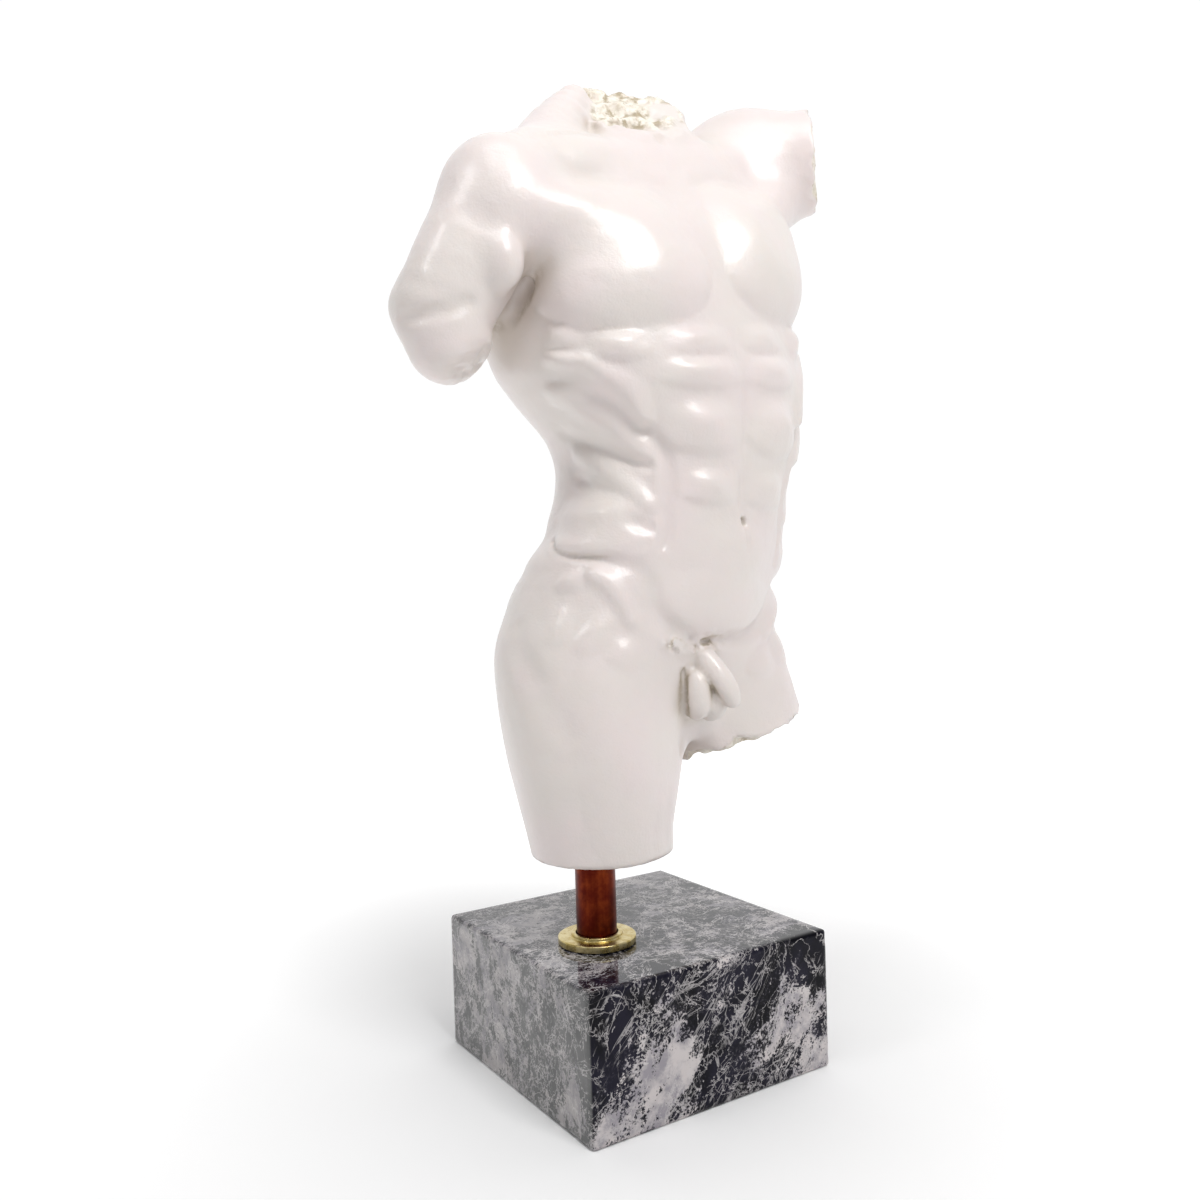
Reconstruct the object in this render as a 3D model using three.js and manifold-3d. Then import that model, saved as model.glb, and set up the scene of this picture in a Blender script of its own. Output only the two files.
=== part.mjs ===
// A broken marble torso on a copper post, with a brass collar, on a square marble block.
// Millimetres, +Z up. The origin is the middle of the block's underside and the front faces -Y.

import * as THREE from "three";
import { mergeVertices } from "three/addons/utils/BufferGeometryUtils.js";
import Module from "manifold-3d";

const wasm = await Module();
wasm.setup();

// Driving dimensions
const TORSO_HEIGHT = 295.5; // from the cut under the right thigh to the top of the left shoulder
const TORSO_TURN = 15; // degrees that the torso is turned to its left on the block
const PLINTH_SIDE = 106;
const PLINTH_HEIGHT = 52;
const PLINTH_EDGE = 1.6; // rounding of the block's edges
const POST_DIAMETER = 15;
const POST_SHOWN = 33; // between the block and the torso
const POST_IN_TORSO = 26;
const POST_IN_PLINTH = 24;
const POST_X = -0.217 * PLINTH_SIDE; // from the middle of the block
const POST_Y = -0.1085 * PLINTH_SIDE;
const COLLAR_DIAMETER = 29;
const COLLAR_THICKNESS = 2.6;
const LIP_WALL = 1.8; // the raised lip around the post
const LIP_RISE = 1.3;
const COLLAR_ROUNDING = 0.5;
const FIT = 0.3; // clearance between neighbouring pieces

// How finely the round shapes are cut into flat faces
const CELLS_HIGH = 92; // cells of the net over the torso, from bottom to top
const TORSO_FACES = 8700; // left after the net is thinned where it is nearly flat
const POST_SIDES = 32;
const COLLAR_SIDES = 32;
const EDGE_STEPS = 3;

const MARBLE_WHITE = { color: 0xe9e3df, roughness: 0.28, metalness: 0 };
const COPPER = { color: 0x8c4630, roughness: 0.42, metalness: 1 };
const BRASS = { color: 0xa98c4c, roughness: 0.34, metalness: 1 };
const MARBLE_GREY = { color: 0x54565c, roughness: 0.2, metalness: 0 };

// The figure is drawn FORM_HEIGHT units high and then scaled to TORSO_HEIGHT. Its own frame has
// +X to the figure's left, the front towards -Y, and the origin in the middle of the thigh's cut.
const FORM_HEIGHT = 295.5;
const FORM_LOW = [-85, -75, -4];
const FORM_HIGH = [140, 70, 304];

// Rings: level, middle x, middle y, half width, depth to the front, depth to the back,
// side slope, turn in degrees, angle of the middle line
const TRUNK_RINGS = [
  [40, 28, 3, 44, 30, 34, -0.12, -4, 8],
  [60, 29, 1.5, 49, 35, 40, -0.12, -4, 8],
  [78, 30.8, -1, 50.8, 38, 42, -0.12, -5, 5],
  [92, 33, -3, 52.6, 38.5, 43, -0.12, -5, 2],
  [103, 34.2, -5, 52, 37.5, 41, -0.11, -5, 0],
  [114, 36.5, -8, 48, 37.5, 40, -0.09, -5, 0],
  [122, 37, -9, 47, 37.5, 39, -0.06, -6, 0],
  [132, 38, -10.5, 46, 37.5, 38.5, -0.03, -7, 1],
  [143, 40, -11.3, 47.5, 39, 39, 0, -8, 3],
  [153, 40, -11, 50.5, 40.5, 39.5, 0.03, -8, 4],
  [166, 38, -9, 56, 43, 40, 0.07, -6, 4],
  [175, 36.5, -7.5, 59.5, 44.5, 42, 0.1, -5, 4],
  [183, 35, -6, 61.5, 45, 43, 0.12, -5, 4],
  [196, 34.5, -5, 61.5, 44, 45, 0.13, -5, 5],
  [212, 34.3, -4.5, 59.6, 42, 45, 0.14, -6, 8],
  [226, 34.6, -3, 57.4, 39.5, 43, 0.16, -7, 12],
  [240, 36, 1, 54, 36, 38, 0.18, -8, 14],
  [252, 37, 4, 44, 30, 31, 0.18, -8, 14],
  [264, 38, 6, 30, 22, 21, 0.18, -8, 14],
];
const RIGHT_THIGH_RINGS = [
  [-10, 3, -1, 25, 24, 24.5, 0, 0, 0],
  [0, 2.6, -1, 25.6, 25, 25.5, 0, 0, 0],
  [10, 1.2, -0.5, 25.9, 26.5, 26.5, 0, 0, 0],
  [22, 0.6, 0, 27.8, 29, 28.5, 0, 0, 0],
  [38, 0, 0.5, 30.5, 31.5, 31, 0, 0, 0],
  [58, 0, 2, 31.8, 32.5, 33, 0, 0, 0],
  [78, 2, 3, 31, 31, 35, 0, 0, 0],
  [98, 8, 2, 27, 26, 33, 0, 0, 0],
];
const LEFT_THIGH_RINGS = [
  [20, 69, -10, 32, 33, 32, 0, 0, 0],
  [45, 66, -9.5, 33, 33, 33, 0, 0, 0],
  [65, 61, -7, 33, 32.5, 36, 0, 0, 0],
  [85, 56, -5, 32, 30, 36, 0, 0, 0],
  [100, 52, -4, 27, 26, 32, 0, 0, 0],
];
const TRUNK_POWER = 2.3;
const THIGH_POWER = 2.1;
const TRUNK_RADIUS = 46;
const THIGH_RADIUS = 31;

// Swellings: angle from the front towards the figure's right, level, half width, half height,
// rise, tilt in degrees, squareness, softness of the edge
const PAIRED_SWELLINGS = [
  [44, 222, 31.5, 30, 8.4, 6, 2.8, 0.66], // breast
  [20, 186.5, 14.5, 6, 1.8, 0, 2.4, 1], // straight belly muscle, top to bottom
  [22, 174.5, 18, 7, 2.6, 0, 2.4, 1],
  [23, 154, 19, 11.5, 3, 0, 2.4, 1],
  [21, 132.5, 17.5, 7.5, 2.6, 0, 2.4, 1],
  [51.5, 186.5, 9.3, 6.3, 2.6, -6, 2.6, 1], // rib arch
  [71, 192, 5.6, 5.4, 2, 0, 2.8, 1], // saw muscle, three teeth
  [72, 184, 7.5, 4.2, 2.2, -26, 2.4, 1],
  [78, 170, 9, 5.4, 2.6, -18, 2.4, 1],
  [76, 118.5, 23, 14.5, 3.6, 0, 3.5, 0.7], // roll of the flank over the hip
  [57, 117.5, 7, 3.4, -1.6, -25, 2.2, 1],
  [87, 136, 7, 3.4, -1.6, -20, 2.2, 1], // hollow of the waist
  [76.5, 95.5, 4.5, 4.2, 1.6, 0, 2.2, 1], // hip bone
  [113, 196, 24, 42, 3.5, 14, 2.4, 1], // broad back muscle
  [144, 222, 26, 30, 3.5, 15, 2.4, 1], // shoulder blade
  [162, 128, 14, 44, 2.2, 0, 2.4, 1], // long back muscle
];
const MIDDLE_SWELLINGS = [
  [0, 101, 33, 24, 4.6, 0, 2.6, 0.9], // lower belly
  [0, 88, 18, 9, 1.2, 0, 2.4, 1],
  [-3, 121, 2.6, 2.4, -3.5, 0, 2, 1], // navel
];
const THIGH_SWELLINGS = [
  [88, 42, 18, 48, 1.4, 0, 2.4, 1],
  [30, 40, 17, 50, 1.6, 4, 2.4, 1],
  [-38, 34, 12, 36, 1.6, -4, 2.4, 1],
];

// Bands and furrows: the rise, then points of angle, level and half width
const PAIRED_BANDS = [
  [2.4, [66, 180, 5], [63, 176, 6], [57, 171, 6.6], [53, 165, 6.2], [50, 157, 5]], // ribs
  [-1.2, [66, 168, 3], [59, 162, 3.6], [52, 152.5, 3.4], [49, 146, 3]],
  [2, [74, 163.5, 5], [66, 158, 6], [60, 152, 6], [54, 146, 5]],
  [-1.2, [89, 156, 4], [73, 149, 4], [63, 144, 4], [50, 141, 3.5]],
  [1.8, [85, 146, 5.5], [72, 139, 6], [62, 132, 6], [52, 125, 5.6]],
  [1, [49, 141, 3.4], [48.5, 134.5, 3.8], [48, 127, 3.4]], // edge of the slanting muscle
  [-1.6, [49, 152, 3], [43, 142, 3.4], [44, 130, 3.6], [45, 121, 3.6], [45, 109, 3.4]],
  [0.9, [90, 111, 3], [71, 107.5, 3], [54.5, 107, 3.4], [48, 108, 3.4], [49, 119, 3]], // rim
  [1, [72, 124, 4], [74, 115, 4], [77, 110, 4]],
  [1.2, [10, 250, 4], [33, 251, 4.5], [58, 252, 4.5], [76, 250, 4]], // collar bone
  [-2.6, [100, 112, 2], [92, 107.5, 2.2], [80, 104.5, 2.4], [71, 104.3, 2.4], [63, 103, 2.6]],
  [-2.2, [71, 103.5, 3], [63, 102, 4], [52, 100, 4.6], [45, 94.5, 4.8], [42.5, 89, 4.6],
     [35, 83.5, 4.2], [25, 79.5, 3.6], [13, 77.5, 3], [0, 77, 3]], // fold over the hip
  [1.8, [66, 97, 3], [59, 94, 3.4], [51, 89, 3.2]], // groin
  [1.6, [80, 84, 5], [65, 87.5, 5], [58, 85, 5], [47, 77.5, 5], [35, 69, 5]],
];
const MIDDLE_BANDS = [
  [-0.9, [0, 168, 4], [0, 160, 5], [0, 144, 5], [0, 126, 4]], // seam of the belly
  [-0.7, [0, 119, 2.6], [-1, 112, 3]],
  [-2.6, [178, 235, 9], [179, 210, 11], [180, 170, 11], [180, 130, 11], [180, 106, 8]],
];
const THIGH_BANDS = [[-0.9, [100, 76, 9], [80, 66, 10], [62, 50, 8]]];

// Limbs and cords of muscle: points of x, y, z and radius
const RIGHT_ARM = [
  [-34, 5, 231, 19], [-45, 7, 213, 18.5], [-52.5, 12, 194.5, 17], [-52, 11.5, 183.5, 14.6],
];
const LEFT_ARM = [[88, -4, 268, 22], [98, -20, 271, 21], [112, -44, 271.5, 20.5]];
const NECK = [[36, 8, 240, 22], [35, 3, 260, 20.5], [33, -2, 280, 20], [31, -6, 304, 20]];
const RIGHT_NAPE = [[26, 7, 281, 11.5], [10, 11, 268, 12], [-16, 8, 248, 12]];
const LEFT_NAPE = [[46, 10, 276, 12], [66, 4, 264.5, 13], [86, -4, 270, 14]];
const THROAT = [[48.5, -2, 280, 7], [45, -10, 264, 6.5], [39, -17, 252, 5.5]];
const RIGHT_COLLAR_BONE = [[26, -10, 249, 11], [2, -9, 247, 13], [-22, -2, 243, 14]];
const LEFT_COLLAR_BONE = [[48, -15, 254, 10], [66, -15, 260, 11], [86, -14, 264, 13]];
const RIGHT_ARMPIT_FRONT = [[0, -22, 220, 13], [-18, -16, 223, 14], [-38, -5, 226, 14]];
const LEFT_ARMPIT_FRONT = [[64, -32, 232, 12], [78, -26, 243, 13], [93, -22, 257, 15]];
const RIGHT_ARMPIT_BACK = [[2, 18, 178, 12], [-14, 17, 196, 13], [-36, 13, 215, 13]];
const LEFT_ARMPIT_BACK = [[74, 18, 196, 12], [83, 12, 220, 13], [93, 3, 248, 14]];
const ARM_CREASE = [[-71, 10, 190, 1], [-66.5, 0, 194, 1.8], [-57.5, -6, 198, 1.8], [-49, -6, 202, 0.8]];
const BUTTOCK_CLEFT = [[29, 50, 92, 2], [28, 50, 74, 6], [28, 46, 50, 8], [28, 40, 30, 8]];
const SHAFT = [[20, -36, 75, 5], [22.4, -42.5, 68, 4.2], [25, -45.6, 61.5, 3.9], [26.4, -46.6, 57.6, 2.6]];

// Lumps: middle, radii and lean about Y in degrees
const RIGHT_SHOULDER = [[-35, 2, 232], [20, 21, 22], -18];
const LEFT_SHOULDER = [[91, -10, 270], [22, 24, 25], 10];
const BICEPS = [[-46, -10.5, 207.5], [6.5, 6.5, 9], -10];
const TRICEPS = [[-58, 19, 196], [9, 12, 10], 0];
const UPPER_BACK = [[[18, 15, 244], [32, 15, 19], 12], [[64, 12, 252], [32, 15, 20], -12]];
const RIGHT_BUTTOCK = [[7, 22, 62], [22, 21, 27], 0];
const LEFT_BUTTOCK = [[56, 20, 62], [26, 21, 26], 0];
const STONES = [[[20.5, -34.5, 57.5], [5.4, 7, 8], 0], [[27, -34.5, 53.5], [5.6, 7, 6.5], 0]];

// Breaks: a point on each and the way that it faces
const NECK_BREAK = [[20, -6, 271.5], [-0.385, -0.685, 0.618]];
const NECK_TOP = [[30, 4, 292.5], [0.1, 0.1, 1]];
const LEFT_ARM_BREAK = [[106, -35.5, 270], [0.56, -0.82, 0.04]];
const RIGHT_ARM_BREAK = [[-46.5, 3, 177.6], [0.3, -0.62, -0.73]];
const LEFT_THIGH_BREAK = [[64, -8, 37.2], [0.2, -0.17, -0.93]];
const FAR_OUTSIDE = 60;

// How wide the fillet is where two forms meet, from nearly sharp to broad
const EDGE_OF_BREAK = 1.2;
const EDGE_OF_SMALL_FORM = 1.6;
const EDGE_OF_CUT = 2;
const FOLD_OF_CREASE = 4;
const FOLD_OF_ARM = 5;
const FOLD_OF_THIGH = 6;
const FOLD_OF_SHOULDER = 8;
const FOLD_OF_BUTTOCK = 10;
const FOLD_OF_NECK = 12;
const FOLD_OF_BACK = 14;
const FOLD_OF_COLLAR_BONE = 16;
const RELIEF_REACH = 16; // no relief is worked out further from the surface than this
const DEEPEST = -20; // distances inside a loft are cut off here

// How relief is laid: forms that overlap add a share of the lower one, and each swelling's
// lower edge hangs over more sharply than its upper edge
const LOWER_SHARE = 0.25;
const HANG = 1.6;
const SWELLING_REACH = 1.5; // of its larger half size
const ON_THE_BACK = 2.3; // radians from the front
const BAND_STEPS = 4;
const CORD_STEPS = 3;

// Small numbers for the arithmetic
const TINY = 1e-9;
const LEAST_SLOPE = 0.001;
const PROBE = 0.05;
const SETTLE_ROUNDS = 2;

const AXES = [0, 1, 2];

function smoothMin(a, b, blend) {
  const h = Math.max(blend - Math.abs(a - b), 0) / blend;
  return Math.min(a, b) - h * h * blend * 0.25;
}

function smoothMax(a, b, blend) {
  return -smoothMin(-a, -b, blend);
}

// A body through a stack of rings, with smooth curves from ring to ring
class Loft {
  constructor(rings, power) {
    this.rings = rings;
    this.power = power;
    this.slopes = rings.map((ring, i) => {
      const before = rings[Math.max(i - 1, 0)];
      const after = rings[Math.min(i + 1, rings.length - 1)];
      return ring.map((_, k) => (after[k] - before[k]) / (after[0] - before[0]));
    });
  }

  ring(level) {
    const { rings, slopes } = this;
    const z = THREE.MathUtils.clamp(level, rings[0][0], rings.at(-1)[0]);
    let i = 0;
    while (i < rings.length - 2 && rings[i + 1][0] <= z) i += 1;
    const gap = rings[i + 1][0] - rings[i][0];
    const t = (z - rings[i][0]) / gap;
    const a = (1 + 2 * t) * (1 - t) * (1 - t);
    const b = t * (1 - t) * (1 - t) * gap;
    const c = t * t * (3 - 2 * t);
    const d = t * t * (t - 1) * gap;
    return rings[i].map((value, k) => (
      a * value + b * slopes[i][k] + c * rings[i + 1][k] + d * slopes[i + 1][k]
    ));
  }

  // Where a point lies: its level on the sloping rings, and x and y in its ring's own frame
  locate(x, y, z) {
    const flat = this.ring(z);
    const level = z - (x - flat[1]) * flat[6];
    const ring = this.ring(level);
    const turn = THREE.MathUtils.degToRad(ring[7]);
    const dx = x - ring[1];
    const dy = y - ring[2];
    return {
      level,
      ring,
      x: dx * Math.cos(turn) + dy * Math.sin(turn),
      y: dy * Math.cos(turn) - dx * Math.sin(turn),
    };
  }

  distance(x, y, z) {
    const at = this.locate(x, y, z);
    const depth = at.y < 0 ? at.ring[4] : at.ring[5];
    const across = Math.abs(at.x / at.ring[3]) ** this.power;
    const q = (across + Math.abs(at.y / depth) ** this.power) ** (1 / this.power);
    const side = Math.hypot(at.x, at.y) * (1 - 1 / Math.max(q, LEAST_SLOPE));
    const capped = smoothMax(Math.max(side, DEEPEST), this.rings[0][0] - at.level, FOLD_OF_THIGH);
    return smoothMax(capped, at.level - this.rings.at(-1)[0], FOLD_OF_THIGH);
  }
}

// A smooth path through rows of numbers, cut into short steps
function smoothPath(points, steps) {
  const first = points[0].map((v, k) => 2 * v - points[1][k]);
  const last = points.at(-1).map((v, k) => 2 * v - points.at(-2)[k]);
  const all = [first, ...points, last];
  const path = [];
  for (let i = 1; i < all.length - 2; i += 1) {
    for (let j = 0; j < steps; j += 1) {
      const t = j / steps;
      path.push(all[i].map((b, k) => {
        const [a, c, d] = [all[i - 1][k], all[i + 1][k], all[i + 2][k]];
        const bend = (2 * a - 5 * b + 4 * c - d) * t * t + (3 * b - a - 3 * c + d) * t * t * t;
        return 0.5 * (2 * b + (c - a) * t + bend);
      }));
    }
  }
  path.push(points.at(-1));
  return path;
}

// Low relief laid on a loft by angle and level
class Relief {
  constructor(loft, radius) {
    this.loft = loft;
    this.radius = radius;
    this.swellings = [];
    this.bands = [];
  }

  addSwelling([angle, level, wide, high, rise, tilt, power, soft], side = 1) {
    const lean = THREE.MathUtils.degToRad(tilt * side);
    this.swellings.push({ angle: angle * side, level, wide, high, rise, lean, power, soft });
  }

  addBand([rise, ...points], side = 1) {
    const rows = points.map(([angle, level, half]) => [
      THREE.MathUtils.degToRad(angle * side) * this.radius, level, half,
    ]);
    const path = smoothPath(rows, BAND_STEPS);
    const half = Math.max(...path.map((row) => row[2]));
    const low = [0, 1].map((k) => Math.min(...path.map((row) => row[k])) - half);
    const high = [0, 1].map((k) => Math.max(...path.map((row) => row[k])) + half);
    this.bands.push({ rise, path, low, high });
  }

  height(x, y, z) {
    const at = this.loft.locate(x, y, z);
    const angle = Math.atan2(-at.x, -at.y) - THREE.MathUtils.degToRad(at.ring[8]);
    let up = 0;
    let down = 0;
    const lay = (h) => {
      if (h > 0) up = Math.max(up, h) + Math.min(up, h) * LOWER_SHARE;
      else down += h;
    };
    for (const s of this.swellings) {
      const raw = THREE.MathUtils.radToDeg(angle) - s.angle;
      const off = THREE.MathUtils.euclideanModulo(raw + 180, 360) - 180;
      const u = THREE.MathUtils.degToRad(off) * this.radius;
      const v = at.level - s.level;
      const reach = SWELLING_REACH * Math.max(s.wide, s.high);
      if (Math.abs(u) > reach || Math.abs(v) > reach) continue;
      const across = Math.abs((u * Math.cos(s.lean) - v * Math.sin(s.lean)) / s.wide);
      const along = Math.abs((u * Math.sin(s.lean) + v * Math.cos(s.lean)) / s.high);
      const q = (across ** s.power + along ** s.power) ** (1 / s.power);
      const t = THREE.MathUtils.clamp((1 - q) / s.soft, 0, 1);
      const gentle = t * t * (3 - 2 * t);
      const hang = THREE.MathUtils.clamp(-HANG * v / s.high, 0, 1);
      lay(s.rise * (gentle + (1 - (1 - t) * (1 - t) - gentle) * hang));
    }
    for (const band of this.bands) {
      const u = this.unroll(angle, band.path);
      if (u < band.low[0] || u > band.high[0]) continue;
      if (at.level < band.low[1] || at.level > band.high[1]) continue;
      let near = 1;
      for (let i = 1; i < band.path.length; i += 1) {
        near = Math.min(near, shareOfWidth(u, at.level, band.path[i - 1], band.path[i]));
      }
      const t = 1 - near;
      lay(band.rise * t * t * (3 - 2 * t));
    }
    return up + down;
  }

  // Bands down the back run past half a turn, so their angles go on beyond it
  unroll(angle, path) {
    const backwards = path[0][0] > ON_THE_BACK * this.radius && angle < 0;
    return (backwards ? angle + 2 * Math.PI : angle) * this.radius;
  }
}

function shareOfWidth(u, v, from, to) {
  const du = to[0] - from[0];
  const dv = to[1] - from[1];
  const along = ((u - from[0]) * du + (v - from[1]) * dv) / Math.max(du * du + dv * dv, TINY);
  const t = THREE.MathUtils.clamp(along, 0, 1);
  const half = from[2] + (to[2] - from[2]) * t;
  return Math.hypot(u - from[0] - t * du, v - from[1] - t * dv) / half;
}

// Distance to a chain of tapering round rods
function cord(points) {
  const path = smoothPath(points, CORD_STEPS);
  const middle = AXES.map((k) => path.reduce((sum, row) => sum + row[k], 0) / path.length);
  const from = ([x, y, z]) => Math.hypot(x - middle[0], y - middle[1], z - middle[2]);
  const reach = Math.max(...path.map((row) => from(row) + row[3]));
  return (x, y, z) => {
    const outside = from([x, y, z]) - reach;
    if (outside > RELIEF_REACH) return outside;
    let near = Infinity;
    for (let i = 1; i < path.length; i += 1) {
      const [ax, ay, az, ar] = path[i - 1];
      const [bx, by, bz, br] = path[i];
      const [dx, dy, dz] = [bx - ax, by - ay, bz - az];
      const along = ((x - ax) * dx + (y - ay) * dy + (z - az) * dz) / (dx * dx + dy * dy + dz * dz);
      const t = THREE.MathUtils.clamp(along, 0, 1);
      const gap = Math.hypot(x - ax - t * dx, y - ay - t * dy, z - az - t * dz);
      near = Math.min(near, gap - ar - (br - ar) * t);
    }
    return near;
  };
}

// Distance to a leaning ellipsoid, near enough for blending
function lump([[cx, cy, cz], [rx, ry, rz], leanDegrees]) {
  const lean = THREE.MathUtils.degToRad(leanDegrees);
  return (x, y, z) => {
    const u = (x - cx) * Math.cos(lean) - (z - cz) * Math.sin(lean);
    const w = (x - cx) * Math.sin(lean) + (z - cz) * Math.cos(lean);
    const v = y - cy;
    const size = Math.hypot(u / rx, v / ry, w / rz);
    const slope = Math.hypot(u / rx ** 2, v / ry ** 2, w / rz ** 2);
    return size * (size - 1) / Math.max(slope, TINY);
  };
}

function halfSpace([point, facing]) {
  const length = Math.hypot(...facing);
  return (x, y, z) => (
    (x - point[0]) * facing[0] + (y - point[1]) * facing[1] + (z - point[2]) * facing[2]
  ) / length;
}

// Everything is met in turn: each step joins the next shape to what is there already
function joinAll(start, steps) {
  return (x, y, z) => steps.reduce(
    (value, [shape, blend]) => smoothMin(value, shape(x, y, z), blend), start(x, y, z),
  );
}

function cutBy(shape, breaks) {
  return (x, y, z) => breaks.reduce(
    (value, [plane, blend]) => smoothMax(value, plane(x, y, z), blend), shape(x, y, z),
  );
}

function trunkRelief(loft) {
  const relief = new Relief(loft, TRUNK_RADIUS);
  for (const side of [1, -1]) {
    for (const row of PAIRED_SWELLINGS) relief.addSwelling(row, side);
    for (const row of PAIRED_BANDS) relief.addBand(row, side);
  }
  for (const row of MIDDLE_SWELLINGS) relief.addSwelling(row);
  for (const row of MIDDLE_BANDS) relief.addBand(row);
  return relief;
}

function thighRelief(loft) {
  const relief = new Relief(loft, THIGH_RADIUS);
  for (const row of THIGH_SWELLINGS) relief.addSwelling(row);
  for (const row of THIGH_BANDS) relief.addBand(row);
  return relief;
}

// The trunk with both thighs, and the muscles laid on it
function lowerBody() {
  const trunk = new Loft(TRUNK_RINGS, TRUNK_POWER);
  const rightThigh = new Loft(RIGHT_THIGH_RINGS, THIGH_POWER);
  const leftThigh = new Loft(LEFT_THIGH_RINGS, THIGH_POWER);
  const onTrunk = trunkRelief(trunk);
  const onThigh = thighRelief(rightThigh);
  const [rightButtock, leftButtock] = [lump(RIGHT_BUTTOCK), lump(LEFT_BUTTOCK)];
  const cleft = cord(BUTTOCK_CLEFT);
  const thighBreak = halfSpace(LEFT_THIGH_BREAK);
  return (x, y, z) => {
    let right = rightThigh.distance(x, y, z);
    if (Math.abs(right) < RELIEF_REACH) right -= onThigh.height(x, y, z);
    let left = smoothMin(leftThigh.distance(x, y, z), leftButtock(x, y, z), FOLD_OF_BUTTOCK);
    left = smoothMax(left, thighBreak(x, y, z), EDGE_OF_BREAK);
    let body = smoothMin(trunk.distance(x, y, z), right, FOLD_OF_SHOULDER);
    body = smoothMin(body, rightButtock(x, y, z), FOLD_OF_BUTTOCK);
    body = smoothMin(body, leftButtock(x, y, z), FOLD_OF_BUTTOCK);
    body = smoothMin(body, left, FOLD_OF_THIGH);
    body = smoothMax(body, -cleft(x, y, z), FOLD_OF_THIGH);
    return Math.abs(body) < RELIEF_REACH ? body - onTrunk.height(x, y, z) : body;
  };
}

function neck() {
  const column = cutBy(cord(NECK), [[halfSpace(NECK_BREAK), EDGE_OF_BREAK]]);
  const muscles = [RIGHT_NAPE, LEFT_NAPE, THROAT].map((points) => [cord(points), FOLD_OF_ARM]);
  return cutBy(joinAll(column, muscles), [[halfSpace(NECK_TOP), EDGE_OF_BREAK]]);
}

function leftArm() {
  const whole = joinAll(cord(LEFT_ARM), [[lump(LEFT_SHOULDER), FOLD_OF_SHOULDER]]);
  return cutBy(whole, [[halfSpace(LEFT_ARM_BREAK), EDGE_OF_BREAK]]);
}

function rightArm() {
  const parts = [
    [lump(RIGHT_SHOULDER), FOLD_OF_THIGH], [lump(BICEPS), FOLD_OF_THIGH], [lump(TRICEPS), FOLD_OF_ARM],
  ];
  const crease = cord(ARM_CREASE);
  const cuts = [
    [(x, y, z) => -crease(x, y, z), FOLD_OF_CREASE], [halfSpace(RIGHT_ARM_BREAK), EDGE_OF_CUT],
  ];
  return cutBy(joinAll(cord(RIGHT_ARM), parts), cuts);
}

// The whole figure as a function that is negative inside the stone
function figure() {
  const whole = joinAll(lowerBody(), [
    [neck(), FOLD_OF_NECK],
    [cord(RIGHT_COLLAR_BONE), FOLD_OF_COLLAR_BONE],
    [cord(LEFT_COLLAR_BONE), FOLD_OF_BACK],
    ...UPPER_BACK.map((row) => [lump(row), FOLD_OF_NECK]),
    [cord(RIGHT_ARMPIT_FRONT), FOLD_OF_SHOULDER],
    [cord(LEFT_ARMPIT_FRONT), FOLD_OF_SHOULDER],
    [cord(RIGHT_ARMPIT_BACK), FOLD_OF_BUTTOCK],
    [cord(LEFT_ARMPIT_BACK), FOLD_OF_BACK],
    [leftArm(), FOLD_OF_SHOULDER],
    [rightArm(), FOLD_OF_THIGH],
    [cord(SHAFT), EDGE_OF_SMALL_FORM],
    ...STONES.map((row) => [lump(row), EDGE_OF_SMALL_FORM]),
  ]);
  return (x, y, z) => smoothMax(whole(x, y, z), -z, EDGE_OF_CUT);
}

const BLOCK_STEPS = 4; // cells along the side of a block of cells
const BLOCK_MARGIN = 3.4;
const PASS_SHARE = 6; // one edge in this many may be drawn in at each pass
const FLATTEST = 1e-4; // below this the planes around an edge meet in no clear spot
const THINNEST = 0.12; // least height of a face against its longest side
const MOST_TURN = 0.35; // cosine of the furthest that a face may turn
const AROUND = [[0, 0], [1, 0], [1, 1], [0, 1]];

function cubeCorner(axis, along, across, up) {
  return (along << axis) | (across << ((axis + 1) % 3)) | (up << ((axis + 2) % 3));
}

const CUBE_EDGES = AXES.flatMap((axis) => AROUND.map(([across, up]) => ({
  axis,
  from: cubeCorner(axis, 0, across, up),
  to: cubeCorner(axis, 1, across, up),
  slot: [2, 3, 1, 0][across + 2 * up],
})));
const CUBE_FACES = AXES.flatMap((axis) => [0, 1].map((side) => (
  AROUND.map(([across, up]) => cubeCorner(axis, side, across, up))
)));

function edgeBetween(a, b) {
  return CUBE_EDGES.findIndex(({ from, to }) => (from === a && to === b) || (from === b && to === a));
}

// Sorts a cell's crossed edges into loops, so that two sheets in one cell stay apart
function loopsInCell(values) {
  const inside = (corner) => values[corner] < 0;
  const owner = CUBE_EDGES.map(({ from, to }, i) => (inside(from) !== inside(to) ? i : -1));
  const link = (a, b) => {
    const [keep, drop] = [owner[a], owner[b]];
    owner.forEach((value, i) => {
      if (value === drop) owner[i] = keep;
    });
  };
  for (const face of CUBE_FACES) {
    const edges = face.map((corner, i) => edgeBetween(corner, face[(i + 1) % 4]));
    const crossed = edges.filter((edge) => owner[edge] >= 0);
    if (crossed.length === 2) link(crossed[0], crossed[1]);
    if (crossed.length === 4) {
      face.forEach((corner, i) => {
        if (inside(corner)) link(edges[(i + 3) % 4], edges[i]);
      });
    }
  }
  return owner;
}

// Moves a vertex down the slope of the field until it lies on the surface
function settle(field, vertex, reach) {
  for (let round = 0; round < SETTLE_ROUNDS; round += 1) {
    const [x, y, z] = vertex;
    const value = field(x, y, z);
    const slope = [field(x + PROBE, y, z), field(x, y + PROBE, z), field(x, y, z + PROBE)]
      .map((next) => (next - value) / PROBE);
    const steep = Math.max(slope[0] ** 2 + slope[1] ** 2 + slope[2] ** 2, LEAST_SLOPE);
    const length = Math.abs(value) / Math.sqrt(steep);
    const share = (value / steep) * Math.min(1, reach / Math.max(length, TINY));
    AXES.forEach((k) => {
      vertex[k] -= share * slope[k];
    });
  }
}

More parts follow.
